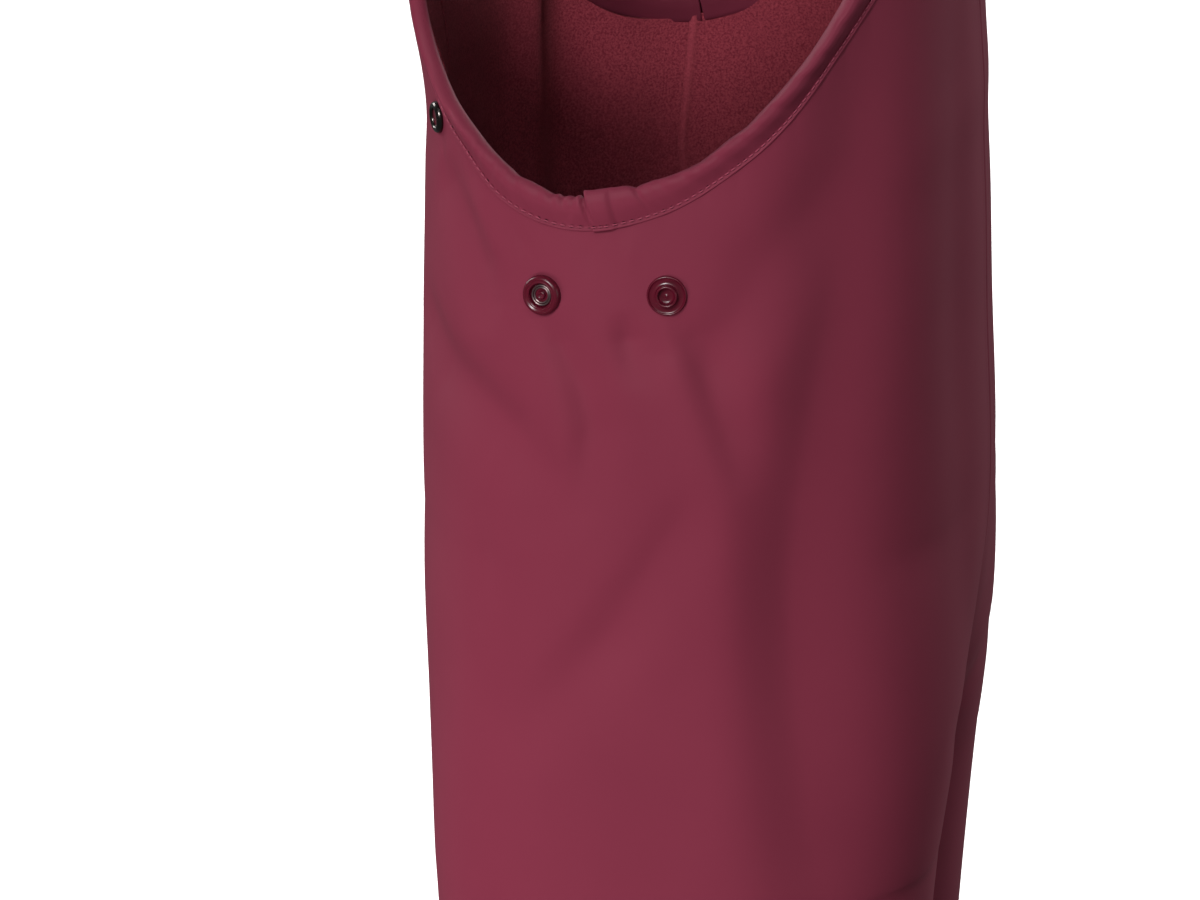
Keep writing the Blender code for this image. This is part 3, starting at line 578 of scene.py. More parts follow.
fleece = brushed_fleece("brushed_polyester_fleece")
near_seam = MM * np.array([0, 0.35, 0.7, 1.2, 2.0, 2.7, 3.1, 3.5, 4.2]) / EDGE_LENGTH
lining_cuts = (
    # panel, its lines as shares of the finished edge, flat width, flat area
    ("front", np.concatenate([np.linspace(0, JOIN_SHARE - 0.006, 100),
                              JOIN_SHARE - MM * np.array([1.6, 0.8, 0.3, 0]) / EDGE_LENGTH]),
     0.24, 0.126),
    ("back", np.concatenate([JOIN_SHARE + near_seam, np.linspace(JOIN_SHARE + 0.012, 1, 110)]),
     0.30, 0.168),
)
lining_out = -(OUTER_WALL + SEAM_GAP)
for hand, side in HANDS:
    for part, shares, flat_width, flat_area in lining_cuts:
        around, z, along, below = panel_lines(shares, LINING_HEM_Z, 44)
        if side < 0:  # here the side seam hangs plumb, so it is further forward at the top
            high = np.clip((z - UNDERARM_Z) / MM + 72, 0, 60) / 60
            around = around - SEAM_SHIFT * high * np.exp(-((along / 50) ** 2))
        own = fold_depth(around, z, side, LINING_FOLDS)
        from_seam = (around - around[:, :1]) / MM if part == "back" else np.full_like(around, 99.0)
        ridge = np.exp(-(((from_seam - 1.8) / 1.5) ** 2))
        hidden = place(around, z, lining_out - own, side)
        napped = place(around, z, lining_out - LINING_WALL - own - SEAM_RIDGE * ridge, side)
        mesh = wall_mesh(f"fleece_{part}_{hand}", hidden, napped, side)
        pressed = mesh.attributes.new("pressed", "FLOAT", "POINT")
        amount = np.concatenate([0 * ridge, ridge])
        pressed.data.foreach_set("value", amount.astype(np.float32).ravel())
        panel = add_piece(f"fleece_{part}_{hand}", mesh, fleece, "fleece", f"lining_{part}_{hand}")

# ---- Elasticated casings -------------------------------------------------------------------
# Strips of the same coated cloth folded over soft elastic and sewn to the edge, one round the
# bib and one round the back. The back one's cut end lies over the front one's under each arm.
CASING_PROUD = 0.0009
STITCH_BELOW = 10.6  # mm below the finished edge
STITCH_PITCH = 2.5
PUFF = 0.9  # mm that the elastic swells the outer face out by under the arm
LEAN = 1.1  # mm that the back run's top edge leans out
GATHER_DRAW = 1.5  # how much of the gathers' depth shows on the outer face
LAP_SLANT = 2.0  # mm that the lap's cut end slants over the casing's width
# The needle holes are not cut in the mesh: each is painted on the casings as a dark dot, painted
# shade.
NEEDLE_HOLE_SHADE = (0.38, 0.62)  # its radius in mm, where it is darkest and where it is gone

LAP_RISE = (
    # way along the edge from the join in mm (forward is negative), how far the back casing's
    # outer face is raised there by the front casing's end beneath it
    (-9.0, 1.40), (2.5, 1.30), (3.5, 0.85), (4.1, 0.10), (4.8, 0.30), (9.0, 0.10), (12.0, 0.0),
)

EDGE_LIFTS = {
    # how far the gathered top edge stands above the smooth line, along the edge, in mm
    "front": ((-216, 0.0), (-180, 0.0), (-120, -0.5), (-90, -2.0), (-70, -3.0), (-60, -2.6),
              (-48, -2.2), (-40, -1.3), (-34, -0.7), (-30, -1.2), (-25, -0.3), (-20, -0.5),
              (-15.5, -1.3), (-14, -0.6), (-12.2, -1.3), (-10, -0.4), (-8.2, -0.8), (-6.4, 0.3),
              (-5.2, -1.2), (-4, 0.0), (0, 0.1)),
    "back": ((-9, 2.0), (3, 2.0), (6, 1.6), (10, 1.2), (12.0, 0.2), (12.8, -0.5), (14.5, 0.0),
             (19, 0.1), (24, -0.7), (30, -1.6), (36, -2.4), (42, -2.2), (49, -1.8), (56, -2.4),
             (62, -2.0), (70, -2.0), (80, -2.2), (90, -2.4), (100, -2.0), (120, -0.6),
             (160, 0.0), (255, 0.0)),
}

PUCKERS = (
    # way along the edge from the join, lean over the casing's width, half width and depth, in
    # mm. Each is a small gather that the elastic draws into the casing.
    (-5.1, 2.0, 0.7, 1.60), (-8.3, -1.2, 1.2, 0.90), (-11.8, 1.6, 1.6, 1.10),
    (-15.6, 3.0, 1.6, 0.60), (-21.0, 3.0, 2.0, 0.50), (-29.5, 3.0, 2.0, 0.75),
    (-35.0, 1.0, 1.4, 0.35), (-40.0, 3.0, 2.2, 0.75), (-46.5, 2.0, 1.6, 0.30),
    (-52.0, 4.0, 2.8, 0.50), (-66.0, 4.0, 3.2, 0.40), (-83.0, 3.0, 3.6, 0.35),
    (-104.0, 3.0, 3.6, 0.20), (-128.0, 2.0, 3.6, 0.20), (-150.0, 3.0, 3.0, 0.25),
    (-176.0, 2.0, 3.6, 0.20), (-201.0, 2.0, 3.6, 0.20),
    (12.6, 3.0, 1.0, 0.80), (16.0, 4.0, 1.4, 0.30), (20.5, 3.0, 2.0, 0.50),
    (28.5, 3.5, 2.2, 0.60), (35.0, 2.0, 1.5, 0.30), (41.5, 3.0, 2.6, 0.75),
    (51.5, 3.0, 2.6, 0.70), (57.5, 4.0, 1.8, 0.40), (66.0, 4.5, 2.8, 0.80),
    (79.0, 5.0, 3.0, 0.80), (90.0, 4.0, 2.4, 0.55), (103.0, 4.0, 3.0, 0.55),
    (124.0, 3.0, 3.4, 0.25), (149.0, 3.0, 3.8, 0.22), (171.0, 2.0, 3.0, 0.25),
    (189.0, 2.0, 3.6, 0.20), (214.0, 2.0, 3.8, 0.20), (236.0, 2.0, 3.4, 0.20),
)

CASING_OUTLINE = (
    # share of the way round, way down in mm, distance out as a share of half the thickness
    (0.00, 0.00, 0.35), (0.03, 0.10, 0.66), (0.06, 0.40, 0.90), (0.11, 1.20, 1.08),
    (0.18, 2.80, 1.16), (0.26, 5.50, 1.08), (0.33, 8.30, 0.88), (0.365, 9.60, 0.74),
    (0.385, 10.20, 0.62), (0.40, 10.60, 0.56), (0.415, 11.00, 0.64), (0.435, 11.50, 0.84),
    (0.455, 11.92, 0.84), (0.475, 12.15, 0.55), (0.50, 12.15, 0.10), (0.525, 12.10, -0.50),
    (0.55, 11.90, -0.80), (0.62, 9.80, -0.92), (0.75, 5.50, -1.00), (0.86, 2.20, -0.85),
    (0.92, 0.90, -0.55), (0.965, 0.25, -0.12), (1.00, 0.00, 0.35),
)


def pucker_depth(along, below):
    """How far the gathers draw the casing in: each is a bell across a leaning line, between
    two low swells, deepest near the top edge and gone at the stitching."""
    total = np.zeros(np.broadcast_shapes(np.shape(along), np.shape(below)))
    share = np.clip(below / STITCH_BELOW, 0, 1)
    for at, lean, width, depth in PUCKERS:
        off = (along - at - lean * share) / width
        total += depth * (np.exp(-(off**2)) - 0.35 * np.exp(-((off / 2.3) ** 2))) * (1 - share**1.4)
    return total


def casing_surface(part, along, below, out, side):
    """Points of a casing for the way along its edge, the way down and the distance out (as in
    CASING_OUTLINE), with its gathers, its lap and its uneven top edge."""
    stretch = 1.0 if side > 0 else 1.05
    drawn = pucker_depth(along / stretch, below)
    lifts = np.array(EDGE_LIFTS[part])
    lift = np.interp(along / stretch, lifts[:, 0], lifts[:, 1])
    slant = LAP_SLANT * below / CASING_WIDTH * MM * np.clip((2 - along) / 6.5, 0, 1) * (part == "back")
    share = JOIN_SHARE + (along + slant) * MM / EDGE_LENGTH
    way = below - lift * np.clip(1 - below / 9, 0, 1) ** 1.5
    around, z = edge_line(np.clip(share, 0, 1), way * MM)
    inside = -(OUTER_WALL + SEAM_GAP + LINING_WALL) - CASING_PROUD
    middle, half = (inside + CASING_PROUD) / 2, (CASING_PROUD - inside) / 2
    puffed = np.sin(np.pi * np.clip(below / 9.5, 0, 1) ** 0.8)
    puffed = np.clip((175 - np.abs(along)) / 60, 0, 1) * puffed
    leaning = LEAN * np.clip((along - 14) / 40, 0, 1) * np.clip((230 - along) / 60, 0, 1)
    puffed = PUFF * puffed + leaning * (1 - np.clip(below / STITCH_BELOW, 0, 1))
    level = middle + out * half + np.clip(out, 0, 1) * (puffed - GATHER_DRAW * drawn) * MM
    if part == "back":
        raised = np.interp(along, *np.array(LAP_RISE).T) * MM
        flap = np.clip((-0.2 - along) / 0.3, 0, 1)
        under = CASING_PROUD + 0.1 * MM
        lying = np.where(out > 0.4, level + raised, under)
        level = np.where(out > 0, level + raised, level) * (1 - flap) + lying * flap
    return place(around, z, level, side)


def tube_mesh(name, rings, uv=None):
    """A closed tube through rings of points, with flat ends, its faces pointing outwards."""
    count, corners = rings.shape[:2]
    index = np.arange(count * corners).reshape(count, corners)
    after = np.roll(index, -1, axis=1)
    faces = np.stack([index[:-1], after[:-1], after[1:], index[1:]], -1).reshape(-1, 4).tolist()
    caps = [index[0][::-1].tolist(), index[-1].tolist()]
    points = rings.reshape(-1, 3)
    middle = rings[:-1].mean(1, keepdims=True)
    turn = np.cross(np.roll(rings[:-1], -1, axis=1) - rings[:-1], rings[1:] - rings[:-1])
    if (turn * (rings[:-1] - middle)).sum() < 0:
        faces = [face[::-1] for face in faces]
        caps = [cap[::-1] for cap in caps]
    mesh = bpy.data.meshes.new(name)
    mesh.from_pydata(points.tolist(), [], faces + caps)
    if uv is not None:
        corner = np.empty(len(mesh.loops), np.int32)
        mesh.loops.foreach_get("vertex_index", corner)
        layer = mesh.uv_layers.new(name="along_and_below")
        layer.data.foreach_set("uv", uv.reshape(-1, 2)[corner].astype(np.float32).ravel())
    return mesh


def cloth_with_hole_shade(name, light, dark):
    """The coated cloth with a row of dark dots painted on as the shade in the needle holes, placed in
    mm by the casing's own UV map.
    """
    made = coated_cloth(name, light, dark)
    tree = made.node_tree
    shader = tree.nodes["Principled BSDF"]
    uv = add_node(tree, "ShaderNodeUVMap", {"uv_map": "along_and_below"})
    split = add_node(tree, "ShaderNodeSeparateXYZ", {}, {"Vector": uv.outputs["UV"]})
    step = add_node(tree, "ShaderNodeMath", {"operation": "PINGPONG"}, {0: split.outputs["X"]})
    step.inputs[1].default_value = STITCH_PITCH / 2
    beside = add_node(tree, "ShaderNodeMath", {"operation": "SUBTRACT"})
    beside.inputs[0].default_value = STITCH_PITCH / 2
    tree.links.new(step.outputs[0], beside.inputs[1])
    lower = add_node(tree, "ShaderNodeMath", {"operation": "SUBTRACT"}, {0: split.outputs["Y"]})
    lower.inputs[1].default_value = STITCH_BELOW
    both = add_node(tree, "ShaderNodeCombineXYZ", {}, {"X": beside.outputs[0],
                                                       "Y": lower.outputs[0]})
    far = add_node(tree, "ShaderNodeVectorMath", {"operation": "LENGTH"}, {0: both.outputs[0]})
    # Painted shade: the cloth's colour darkens to near black at each needle hole.
    dark_within, gone_at = NEEDLE_HOLE_SHADE
    hole_shade = add_node(tree, "ShaderNodeMapRange", {"From Min": dark_within, "From Max": gone_at},
                    {"Value": far.outputs["Value"]})
    mixed = add_node(tree, "ShaderNodeMix", {"data_type": "RGBA"},
                     {"Factor": hole_shade.outputs["Result"]})
    mixed.inputs[6].default_value = linear("#2a0a12")
    tree.links.new(shader.inputs["Base Color"].links[0].from_socket, mixed.inputs[7])
    tree.links.new(mixed.outputs[2], shader.inputs["Base Color"])
    return made


rain_cloth_with_hole_shade = cloth_with_hole_shade("pu_coated_cloth_with_needle_holes", *CLOTH_COLOURS)
outline = np.array(CASING_OUTLINE)
turns = np.concatenate([np.linspace(0, 0.5, 33)[:-1], np.linspace(0.5, 1, 15)[:-1]])
ring_below = np.interp(turns, outline[:, 0], outline[:, 1])
ring_out = np.interp(turns, outline[:, 0], outline[:, 2])
ring_v = np.where(turns < 0.5, ring_below, 30 + ring_below)  # no needle holes on the inside
edge_before = JOIN_SHARE * EDGE_LENGTH / MM
edge_after = (1 - JOIN_SHARE) * EDGE_LENGTH / MM
casing_runs = {
    # way along the edge of one half from under the arm to the centre seam, in mm
    "front": -np.concatenate([[0.4], np.arange(1.0, edge_before - 0.3, 0.65), [edge_before]]),
    "back": np.concatenate([np.arange(-4.5, -0.5, 0.5), [-0.5, -0.3, -0.15, 0.0],
                            np.arange(0.5, edge_after - 0.3, 0.65), [edge_after]]),
}
for part, run in casing_runs.items():
    halves = [casing_surface(part, run[:, None], ring_below, ring_out, side) for side in (1, -1)]
    halves[0][-1, :, 0] = halves[1][-1, :, 0] = 0
    middle = (halves[0][-1] + halves[1][-1]) / 2
    rings = np.concatenate([halves[0][:-1], middle[None], halves[1][:-1][::-1]])
    u = np.concatenate([run, run[:-1][::-1]])
    uv = np.stack(np.broadcast_arrays(u[:, None], ring_v), -1)
    mesh = tube_mesh(f"casing_strip_{part}", rings, uv)
    strip = add_piece(f"casing_strip_{part}", mesh, rain_cloth_with_hole_shade, "coated_cloth",
                      f"casing_{part}")

# ---- Stitching -----------------------------------------------------------------------------
# Lock stitches in polyester thread, coloured a little lighter than the cloth as a painted highlight,
# along both casings and round each turned hem. Those on the casings start beside the lap.
STITCH_LENGTH = 2.0 * MM
THREAD_THICKNESS = 0.48 * MM
HEM_TURN = 15 * MM
# Spun thread is dull; its colour is set a little lighter than the cloth's as a painted highlight, so
# it shows as a light line.
thread = new_finish(
    "twisted_polyester_thread",
    {"Base Color": linear("#8c3d50"), "Roughness": 0.6, "Specular IOR Level": 0.2},
)[0]


def stitch_mesh(name, centres, ahead, normals):
    """Many stitches as one mesh: each is a capsule of 6 rings of 6 points, bowed up in the middle so
    that its ends dip into the cloth, which on the casings is where the needle holes are painted as
    dark dots of shade."""
    length, thick = STITCH_LENGTH, THREAD_THICKNESS
    ahead = ahead / np.linalg.norm(ahead, axis=-1, keepdims=True)
    cross = np.cross(normals, ahead)
    cross /= np.linalg.norm(cross, axis=-1, keepdims=True)
    wobble = np.random.default_rng(7).normal(0, 0.045, len(centres))[:, None]
    ahead, cross = ahead + wobble * cross, cross - wobble * ahead
    along = np.array([-0.5, -0.42, -0.22, 0.22, 0.42, 0.5]) * length
    girth = np.array([0.15, 0.72, 1.0, 1.0, 0.72, 0.15]) * thick / 2
    bow = np.array([-0.55, -0.15, 0.0, 0.0, -0.15, -0.55]) * thick
    turn = np.linspace(0, 2 * np.pi, 6, endpoint=False)
    local = np.stack(np.broadcast_arrays(
        along[:, None], girth[:, None] * np.cos(turn), bow[:, None] + girth[:, None] * np.sin(turn)
    ), -1)
    axes = np.stack([ahead, cross, normals], 1)
    points = centres[:, None, None] + np.einsum("rtk,nkc->nrtc", local, axes)
    ring = np.arange(36).reshape(6, 6)
    after = np.roll(ring, -1, axis=1)
    sides = np.stack([ring[:-1], after[:-1], after[1:], ring[1:]], -1).reshape(-1, 4)
    caps = np.array([[0, 5, 4, 3], [3, 2, 1, 0], [30, 31, 32, 33], [33, 34, 35, 30]])
    faces = np.concatenate([sides, caps])
    if np.linalg.det(axes[0]) < 0:
        faces = faces[:, ::-1]
    faces = faces[None] + 36 * np.arange(len(centres))[:, None, None]
    return quad_mesh(name, points.reshape(-1, 3), faces.reshape(-1, 4))


def line_frames(points, above):
    """Directions ahead along a line of points, and unit normals towards the points above it."""
    ahead = np.gradient(points, axis=0)
    normal = above - points
    normal -= ahead * ((normal * ahead).sum(-1) / (ahead**2).sum(-1))[:, None]
    return ahead, normal / np.linalg.norm(normal, axis=-1, keepdims=True)


stitch_runs = {
    # way along the edge of each stitch's middle, in mm
    "front": np.arange(-2.5 * STITCH_PITCH, -edge_before - STITCH_PITCH, -STITCH_PITCH),
    "back": np.arange(-1.5 * STITCH_PITCH, edge_after, STITCH_PITCH),
}
for part, at in stitch_runs.items():
    for hand, side in HANDS:
        lie = casing_surface(part, at, STITCH_BELOW, 0.76, side)
        over = casing_surface(part, at, STITCH_BELOW, 1.5, side)
        name = f"stitches_casing_{part}_{hand}"
        add_piece(name, stitch_mesh(name, lie, *line_frames(lie, over)), thread, "coated_cloth")

for hand, side in HANDS:
    at = np.linspace(1.5 * MM, HALF_GIRTH - 1.5 * MM, 146)
    lie = place(at, HEM_Z + HEM_TURN, -0.15 * MM, side)
    over = place(at, HEM_Z + HEM_TURN, 2 * MM, side)
    name = f"stitches_hem_{hand}"
    add_piece(name, stitch_mesh(name, lie, *line_frames(lie, over)), thread, "coated_cloth")

# ---- Side snaps ----------------------------------------------------------------------------
# Socket and stud halves of a metal press snap, lacquered in the cloth's colour. The socket has
# a steel spring ring and a small eyelet in its hollow. Each is riveted through both cloths.
SOCKET_AT = (0.1486, -0.2020)
STUD_AT = (0.1912, -0.1992)

SOCKET_OUTLINE = (
    # radius and height in mm, from the middle of the hollow out over the rolled rim
    (0.0, 0.55), (3.4, 0.55), (3.85, 0.62), (4.02, 0.85), (4.08, 1.3), (4.12, 1.8), (4.22, 2.1),
    (4.42, 2.26), (4.62, 2.24), (4.78, 2.14), (4.95, 2.16), (5.2, 2.36), (5.55, 2.52),
    (5.9, 2.46), (6.25, 2.22), (6.52, 1.84), (6.72, 1.36), (6.83, 0.8), (6.85, 0.3), (6.8, -0.2),
    (6.7, -0.9), (0.0, -0.9),
)
SPRING_OUTLINES = (
    # two turns of steel wire, half sunk in the hollow
    ((2.30, 0.80), (2.42, 1.00), (2.62, 1.06), (2.80, 0.96), (2.86, 0.76), (2.6, 0.5)),
    ((3.02, 0.95), (3.14, 1.20), (3.36, 1.28), (3.58, 1.18), (3.66, 0.95), (3.3, 0.5)),
)
EYELET_OUTLINE = (
    (0.0, 0.95), (0.20, 1.12), (0.36, 0.98), (0.55, 1.02), (0.72, 1.40), (0.98, 1.58),
    (1.24, 1.46), (1.42, 1.10), (1.48, 0.5), (0.0, 0.4),
)
STUD_OUTLINE = (
    (0.0, 0.78), (0.16, 0.92), (0.34, 0.78), (1.2, 0.72), (1.9, 0.78), (2.45, 1.0), (2.72, 1.5),
    (2.82, 2.2), (2.95, 2.62), (3.18, 2.82), (3.45, 2.78), (3.68, 2.5), (3.82, 2.0),
    (3.86, 1.4), (3.92, 0.85), (4.15, 0.62), (4.8, 0.55), (5.6, 0.58), (6.0, 0.66), (6.12, 0.86),
    (6.28, 1.02), (6.50, 1.0), (6.68, 0.82), (6.80, 0.5), (6.85, 0.2), (6.8, -0.2), (6.7, -0.9),
    (0.0, -0.9),
)


def lathe(name, outline, around, z, out, side, steps=72):
    """An outline (radius, height in mm) swept round its own axis and set square on the cloth.
    One that leaves the axis free is joined up into a ring."""
    shape = np.array(outline)
    turn = np.linspace(0, 2 * np.pi, steps, endpoint=False)
    radius, height = np.maximum(shape[:, :1], 1e-4), shape[:, 1:]
    local = np.stack(np.broadcast_arrays(radius * np.cos(turn), radius * np.sin(turn), height), -1)
    normal = outward(np.array(around), np.array(z)) * [side, 1, 1]
    right = np.cross([0, 0, 1.0], normal)
    right /= np.linalg.norm(right)
    axes = np.stack([right, np.cross(normal, right), normal])
    points = place(around, z, out, side) + local.reshape(-1, 3) * MM @ axes
    index = np.arange(len(shape) * steps).reshape(-1, steps)
    if shape[0, 0] > 0:
        index = np.concatenate([index, index[:1]])
    after = np.roll(index, -1, axis=1)
    faces = np.stack([index[:-1], index[1:], after[1:], after[:-1]], -1).reshape(-1, 4)
    return quad_mesh(name, points, faces)


# Enamel baked on stamped brass is smooth and glossy, with small sharp glints on its rims.
enamel = new_finish(
    "baked_burgundy_enamel",
    {"Base Color": linear("#4c091b"), "Roughness": 0.26, "IOR": 1.5, "Specular IOR Level": 0.5},
)[0]
# Drawn steel wire, its colour tinted pink as a painted reflection of the lacquer round it.
spring_steel = new_finish(
    "bright_spring_steel", {"Base Color": linear("#a89393"), "Roughness": 0.34, "Metallic": 1.0}
)[0]
for hand, side in HANDS:
    mesh = lathe(f"socket_{hand}", SOCKET_OUTLINE, *SOCKET_AT, 0.0, side)
    add_piece(f"socket_{hand}", mesh, enamel, "snap_enamel", f"snap_socket_{hand}")
    mesh = lathe(f"socket_eyelet_{hand}", EYELET_OUTLINE, *SOCKET_AT, 0.0, side, 48)
    add_piece(f"socket_eyelet_{hand}", mesh, enamel, "snap_enamel")
    for turn_name, spring in zip(("inner", "outer"), SPRING_OUTLINES):
        mesh = lathe(f"socket_spring_{turn_name}_{hand}", spring, *SOCKET_AT, 0.0, side, 48)
        add_piece(mesh.name, mesh, spring_steel, "dark_nickel")
    mesh = lathe(f"stud_{hand}", STUD_OUTLINE, *STUD_AT, 0.0, side)
    add_piece(f"stud_{hand}", mesh, enamel, "snap_enamel", f"snap_stud_{hand}")

# ---- Shoulder straps -----------------------------------------------------------------------
# Bands of the coated cloth, sewn down along both edges. Each is snapped to the bib's corner,
# goes over the shoulder and is caught in the back casing.
STRAP_WIDTH = 0.028
STRAP_THICKNESS = 0.002
STRAP_AROUND = 0.054
STRAP_END_Z = UNDERARM_Z + 0.056
BIB_TOP_Z, BACK_TOP_Z = UNDERARM_Z + 0.095, UNDERARM_Z + 0.114
STRAP_TOP_Y = -0.010  # where the strap lies level on the shoulder
STRAP_SNAP_Z = UNDERARM_Z + 0.0710
STRAP_STITCH_INSET = 2.5 * MM


def arch(first, last, leave, arrive, first_cross, last_cross):
    """Cubic Bezier between two points, whose cross line eases from one end's to the other's."""
    t = np.linspace(0, 1, 64)[:, None]
    knots = [first, first + leave, last - arrive, last]
    weights = [(1 - t) ** 3, 3 * t * (1 - t) ** 2, 3 * t**2 * (1 - t), t**3]
    centre = sum(weight * knot for weight, knot in zip(weights, knots))
    ease = t**2 * (3 - 2 * t)
    return centre, first_cross * (1 - ease) + last_cross * ease


def strap_line():
    """The left strap's middle line and the half vector across it, from its lower end on the
    bib, up over the shoulder and down to the back edge."""
    on_bib = CASING_PROUD + 2 * SEAM_GAP + STRAP_THICKNESS / 2
    height = np.array([0, 0.4, 1, 2, 3.5, 5.5, 8, 11, 14, 18, 22, 26, 30, 34, 37]) * MM
    share = np.sqrt(np.clip(1 - (1 - np.clip(height / (9 * MM), 0, 1)) ** 2, 0.09, 1))
    half = STRAP_WIDTH / 2
    left = place(STRAP_AROUND + half * share, STRAP_END_Z + height, on_bib, 1)
    right = place(STRAP_AROUND - half * share, STRAP_END_Z + height, on_bib, 1)
    start = place(STRAP_AROUND + half * np.array([-1, 0, 1]), BIB_TOP_Z, on_bib, 1)
    inside = -(OUTER_WALL + SEAM_GAP + LINING_WALL) / 2
    finish = place(HALF_GIRTH - STRAP_AROUND - half * np.array([-1, 0, 1]), BACK_TOP_Z - MM,
                   inside, 1)
    top = np.array([start[1, 0], STRAP_TOP_Y, 0.0])
    level = np.array([half, 0, 0])
    up, over, down = ([0.0, -0.002, 0.040], [0.0, 0.052, 0.0], [0.0, 0.004, -0.034])
    front = arch(start[1], top, np.array(up), np.array(over), (start[2] - start[0]) / 2, level)
    back = arch(top, finish[1], np.array(over), np.array(down), level, (finish[2] - finish[0]) / 2)
    middles = np.concatenate([(left + right) / 2, front[0], back[0][1:]])
    return middles, np.concatenate([(left - right) / 2, front[1], back[1][1:]])


strap_middle, strap_half = strap_line()
strap_ahead = np.gradient(strap_middle, axis=0)
strap_normal = np.cross(strap_half, strap_ahead)
strap_normal /= np.linalg.norm(strap_normal, axis=-1, keepdims=True)
strap_normal *= np.sign(strap_normal[5] @ np.array([0.3, -1, 0]))
edge_turn = np.linspace(0, 2 * np.pi, 40, endpoint=False)
flat_across, flat_out = rounded(edge_turn, 9.0)
band = (strap_middle[:, None] + strap_half[:, None] * flat_across[None, :, None]
        + strap_normal[:, None] * flat_out[None, :, None] * STRAP_THICKNESS / 2)
way = np.concatenate([[0], np.cumsum(np.linalg.norm(np.diff(strap_middle, axis=0), axis=1))])
seats = np.arange(4 * MM, way[-1] - 3 * MM, STITCH_PITCH * MM)
for hand, side in HANDS:
    mirror = np.array([side, 1, 1])
    mesh = tube_mesh(f"shoulder_strap_{hand}", band * mirror)
    strap = add_piece(f"shoulder_strap_{hand}", mesh, rain_cloth, "coated_cloth", f"strap_{hand}")
    lines = []
    for edge in (-1, 1):
        share = 1 - STRAP_STITCH_INSET / np.linalg.norm(strap_half, axis=1)
        inset = strap_half * share[:, None] * edge
        spots = (strap_middle + inset + strap_normal * STRAP_THICKNESS * 0.5) * mirror
        lift = strap_normal * mirror
        lie = np.stack([np.interp(seats, way, spots[:, k]) for k in range(3)], -1)
        over = lie + np.stack([np.interp(seats, way, lift[:, k]) for k in range(3)], -1) * MM
        lines.append((lie, *line_frames(lie, over)))
    parts = [np.concatenate(column) for column in zip(*lines)]
    mesh = stitch_mesh(f"stitches_strap_{hand}", *parts)
    add_piece(f"stitches_strap_{hand}", mesh, thread, "coated_cloth")

# ---- Ring-topped snaps ---------------------------------------------------------------------
# Open ring caps in dark plated brass with a lacquered middle, one beside each armhole on the
# bib and one that holds each strap's end.
BIB_SNAP_AT = (0.0901, UNDERARM_Z + 0.0111)

RING_OUTLINE = (
    (3.25, 0.9), (3.45, 1.35), (3.9, 1.62), (4.4, 1.64), (4.9, 1.4), (5.25, 0.95), (5.45, 0.45),
    (5.5, 0.0), (5.4, -0.5), (3.1, -0.5),
)
MIDDLE_OUTLINE = (
    (0.0, 1.05), (1.2, 1.0), (2.4, 0.9), (3.1, 0.78), (3.4, 0.6), (3.4, -0.4), (0.0, -0.4),
)
# Polished plating, nearly black, that mirrors the lamps as thin bright lines.
dark_nickel = new_finish(
    "dark_nickel_plate", {"Base Color": linear("#4a4644"), "Roughness": 0.22, "Metallic": 1.0}
)[0]
on_strap = CASING_PROUD + 3 * SEAM_GAP + STRAP_THICKNESS
for hand, side in HANDS:
    for spot, around, z, out in (
        ("bib", *BIB_SNAP_AT, 0.4 * MM),
        ("strap", STRAP_AROUND, STRAP_SNAP_Z, on_strap),
    ):
        mesh = lathe(f"{spot}_ring_cap_{hand}", RING_OUTLINE, around, z, out, side)
        add_piece(f"{spot}_ring_cap_{hand}", mesh, dark_nickel, "dark_nickel",
                  f"{spot}_snap_{hand}")
        mesh = lathe(f"{spot}_cap_middle_{hand}", MIDDLE_OUTLINE, around, z, out, side, 48)
        add_piece(f"{spot}_cap_middle_{hand}", mesh, enamel, "snap_enamel")

# ---- Camera, light and floor ---------------------------------------------------------------
# A long lens from the garment's left side, a little above it. A soft key comes from the camera's
# left, lower on the lining than on the outside. Softboxes fill in from its right and from above.
CAMERA_TURN, CAMERA_LIFT = np.radians(98.0), np.radians(18.5)
CAMERA_AT = (2.9761, 0.3804, 0.7057)
LAMP_AIM = (0.0, 0.0, -0.25)  # in the trunk
FAR_AWAY = 3.0

SOFTBOXES = (
    # name, turn aside from the camera and height in degrees, distance, width, height, watts
    ("fill_softbox", 70, 12, 2.4, 1.0, 1.4, 3.6),
    ("front_softbox", 8, 42, 1.7, 0.5, 0.3, 2.0),
    ("low_softbox", -42, -24, 0.8, 0.5, 0.2, 3.3),
    ("small_top_softbox", -16, 62, 1.5, 0.25, 0.12, 0.8),
)
FAR_LAMPS = (
    # name, turn aside and height in degrees, spread in degrees, strength, what it lights
    ("broad_key", -24, 32, 16, 2.4, "outside_pieces"),
    ("lining_key", -20, 25, 14, 1.35, "lining_pieces"),
    ("low_front_lamp", -6, 9, 9, 1.6, "lining_pieces"),
    ("rim_light_back", 138, 24, 30, 1.9, "outside_pieces"),
    ("rim_light_front", -132, 24, 30, 1.9, "outside_pieces"),
    ("floor_wash", 0, 89, 40, 2.4, "floor_only"),
)


def turned_to(aside, up):
    """The direction from the garment to a lamp or lens, and the axes of one that looks back
    along it: right is level, and up is square to both."""
    turn = CAMERA_TURN + aside
    way = np.array([np.sin(turn) * np.cos(up), -np.cos(turn) * np.cos(up), np.sin(up)])
    right = np.array([np.cos(turn), np.sin(turn), 0.0])
    axes = np.eye(4)
    axes[:3, :3] = np.column_stack([right, np.cross(way, right), way])
    return way, axes


def add_lamp(name, kind, strength, aside, up, away):
    """Sets a lamp at a turn aside from the camera, a height and a distance, aimed at the trunk."""
    lamp = bpy.data.objects.new(name, bpy.data.lights.new(name, kind))
    lamp.data.energy = strength
    way, axes = turned_to(np.radians(aside), np.radians(up))
    axes[:3, 3] = np.array(LAMP_AIM) + way * away
    lamp.matrix_world = Matrix(axes)
    bpy.context.scene.collection.objects.link(lamp)
    return lamp


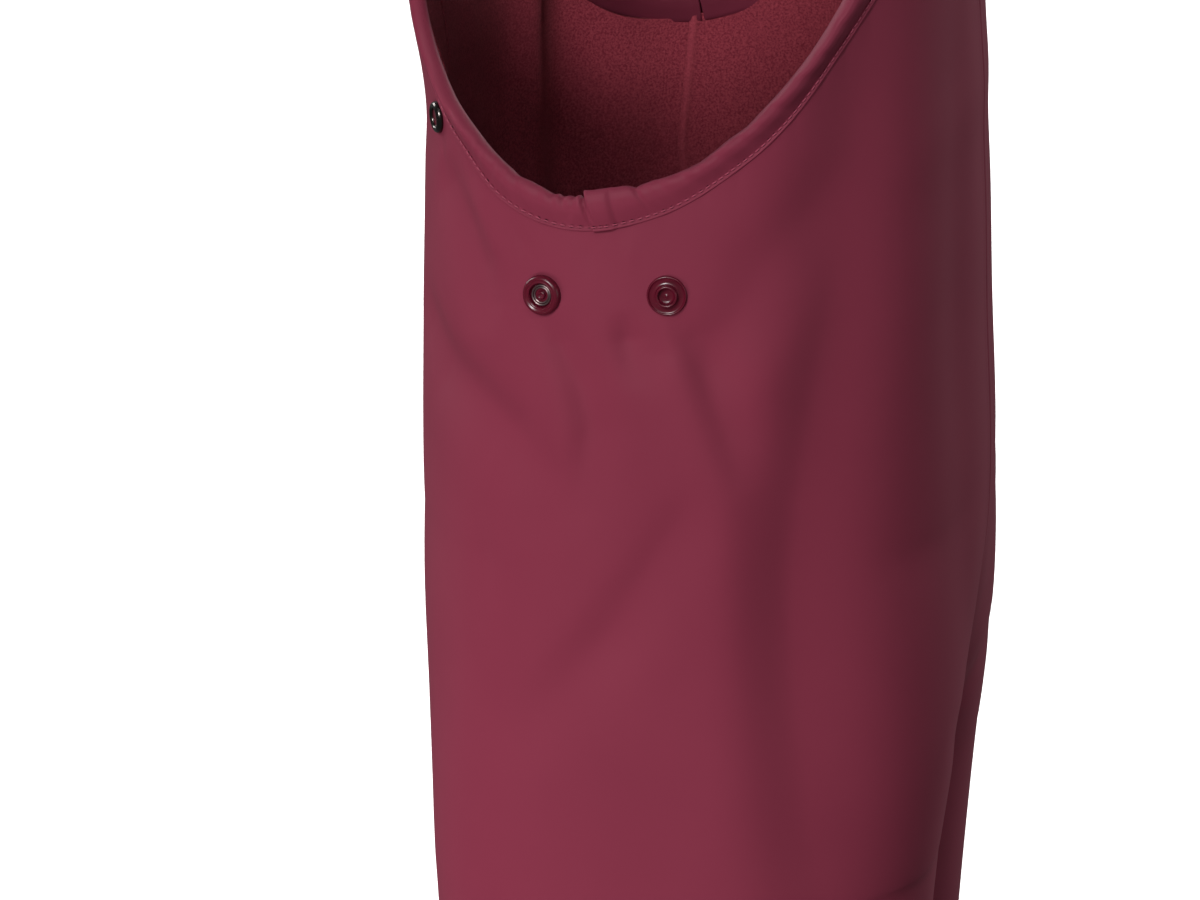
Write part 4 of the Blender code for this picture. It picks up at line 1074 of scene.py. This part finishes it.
lens = bpy.data.cameras.new("long_lens")
lens.lens = 270.0
lens.sensor_width = 36.0
lens.clip_end = 50.0
camera = bpy.data.objects.new("camera", lens)
bpy.context.scene.collection.objects.link(camera)
axes = turned_to(0, CAMERA_LIFT)[1]
axes[:3, 3] = CAMERA_AT
camera.matrix_world = Matrix(axes)
bpy.context.scene.camera = camera

world = bpy.data.worlds.new("soft_white_room")
bpy.context.scene.world = world
world.use_nodes = True
world.node_tree.nodes["Background"].inputs["Color"].default_value = (1.0, 1.0, 1.0, 1.0)
world.node_tree.nodes["Background"].inputs["Strength"].default_value = 0.11

FLOOR_REACH, FLOOR_GAP = 30.0, 0.015
corners = [(x * FLOOR_REACH, y * FLOOR_REACH, HEM_Z - FLOOR_GAP)
           for x, y in ((-1, -1), (1, -1), (1, 1), (-1, 1))]
floor_mesh = bpy.data.meshes.new("pale_floor")
floor_mesh.from_pydata(corners, [], [(0, 1, 2, 3)])
floor_mesh.materials.append(
    new_finish("matt_white_floor", {"Base Color": (0.93, 0.93, 0.93, 1.0), "Roughness": 0.9})[0]
)
floor = bpy.data.objects.new("pale_floor", floor_mesh)
floor.visible_diffuse = floor.visible_glossy = False  # its glare would wipe out the folds
bpy.context.scene.collection.objects.link(floor)

lit = {name: bpy.data.collections.new(name)
       for name in ("outside_pieces", "lining_pieces", "floor_only")}
for piece in [thing for thing in bpy.data.objects if thing.type == "MESH"]:
    lining = piece.name.startswith("fleece")
    lit["lining_pieces" if lining else "outside_pieces"].objects.link(piece)
lit["floor_only"].objects.link(floor)
for name, aside, up, away, wide, tall, watts in SOFTBOXES:
    lamp = add_lamp(name, "AREA", watts, aside, up, away)
    lamp.data.shape = "RECTANGLE"
    lamp.data.size, lamp.data.size_y = wide, tall
    lamp.visible_glossy = name != "low_softbox"  # it would show in the snaps as a bar
for name, aside, up, spread, strength, lights in FAR_LAMPS:
    lamp = add_lamp(name, "SUN", strength, aside, up, FAR_AWAY)
    lamp.data.angle = np.radians(spread)
    lamp.light_linking.receiver_collection = lit[lights]
bpy.context.scene.view_settings.view_transform = "Standard"
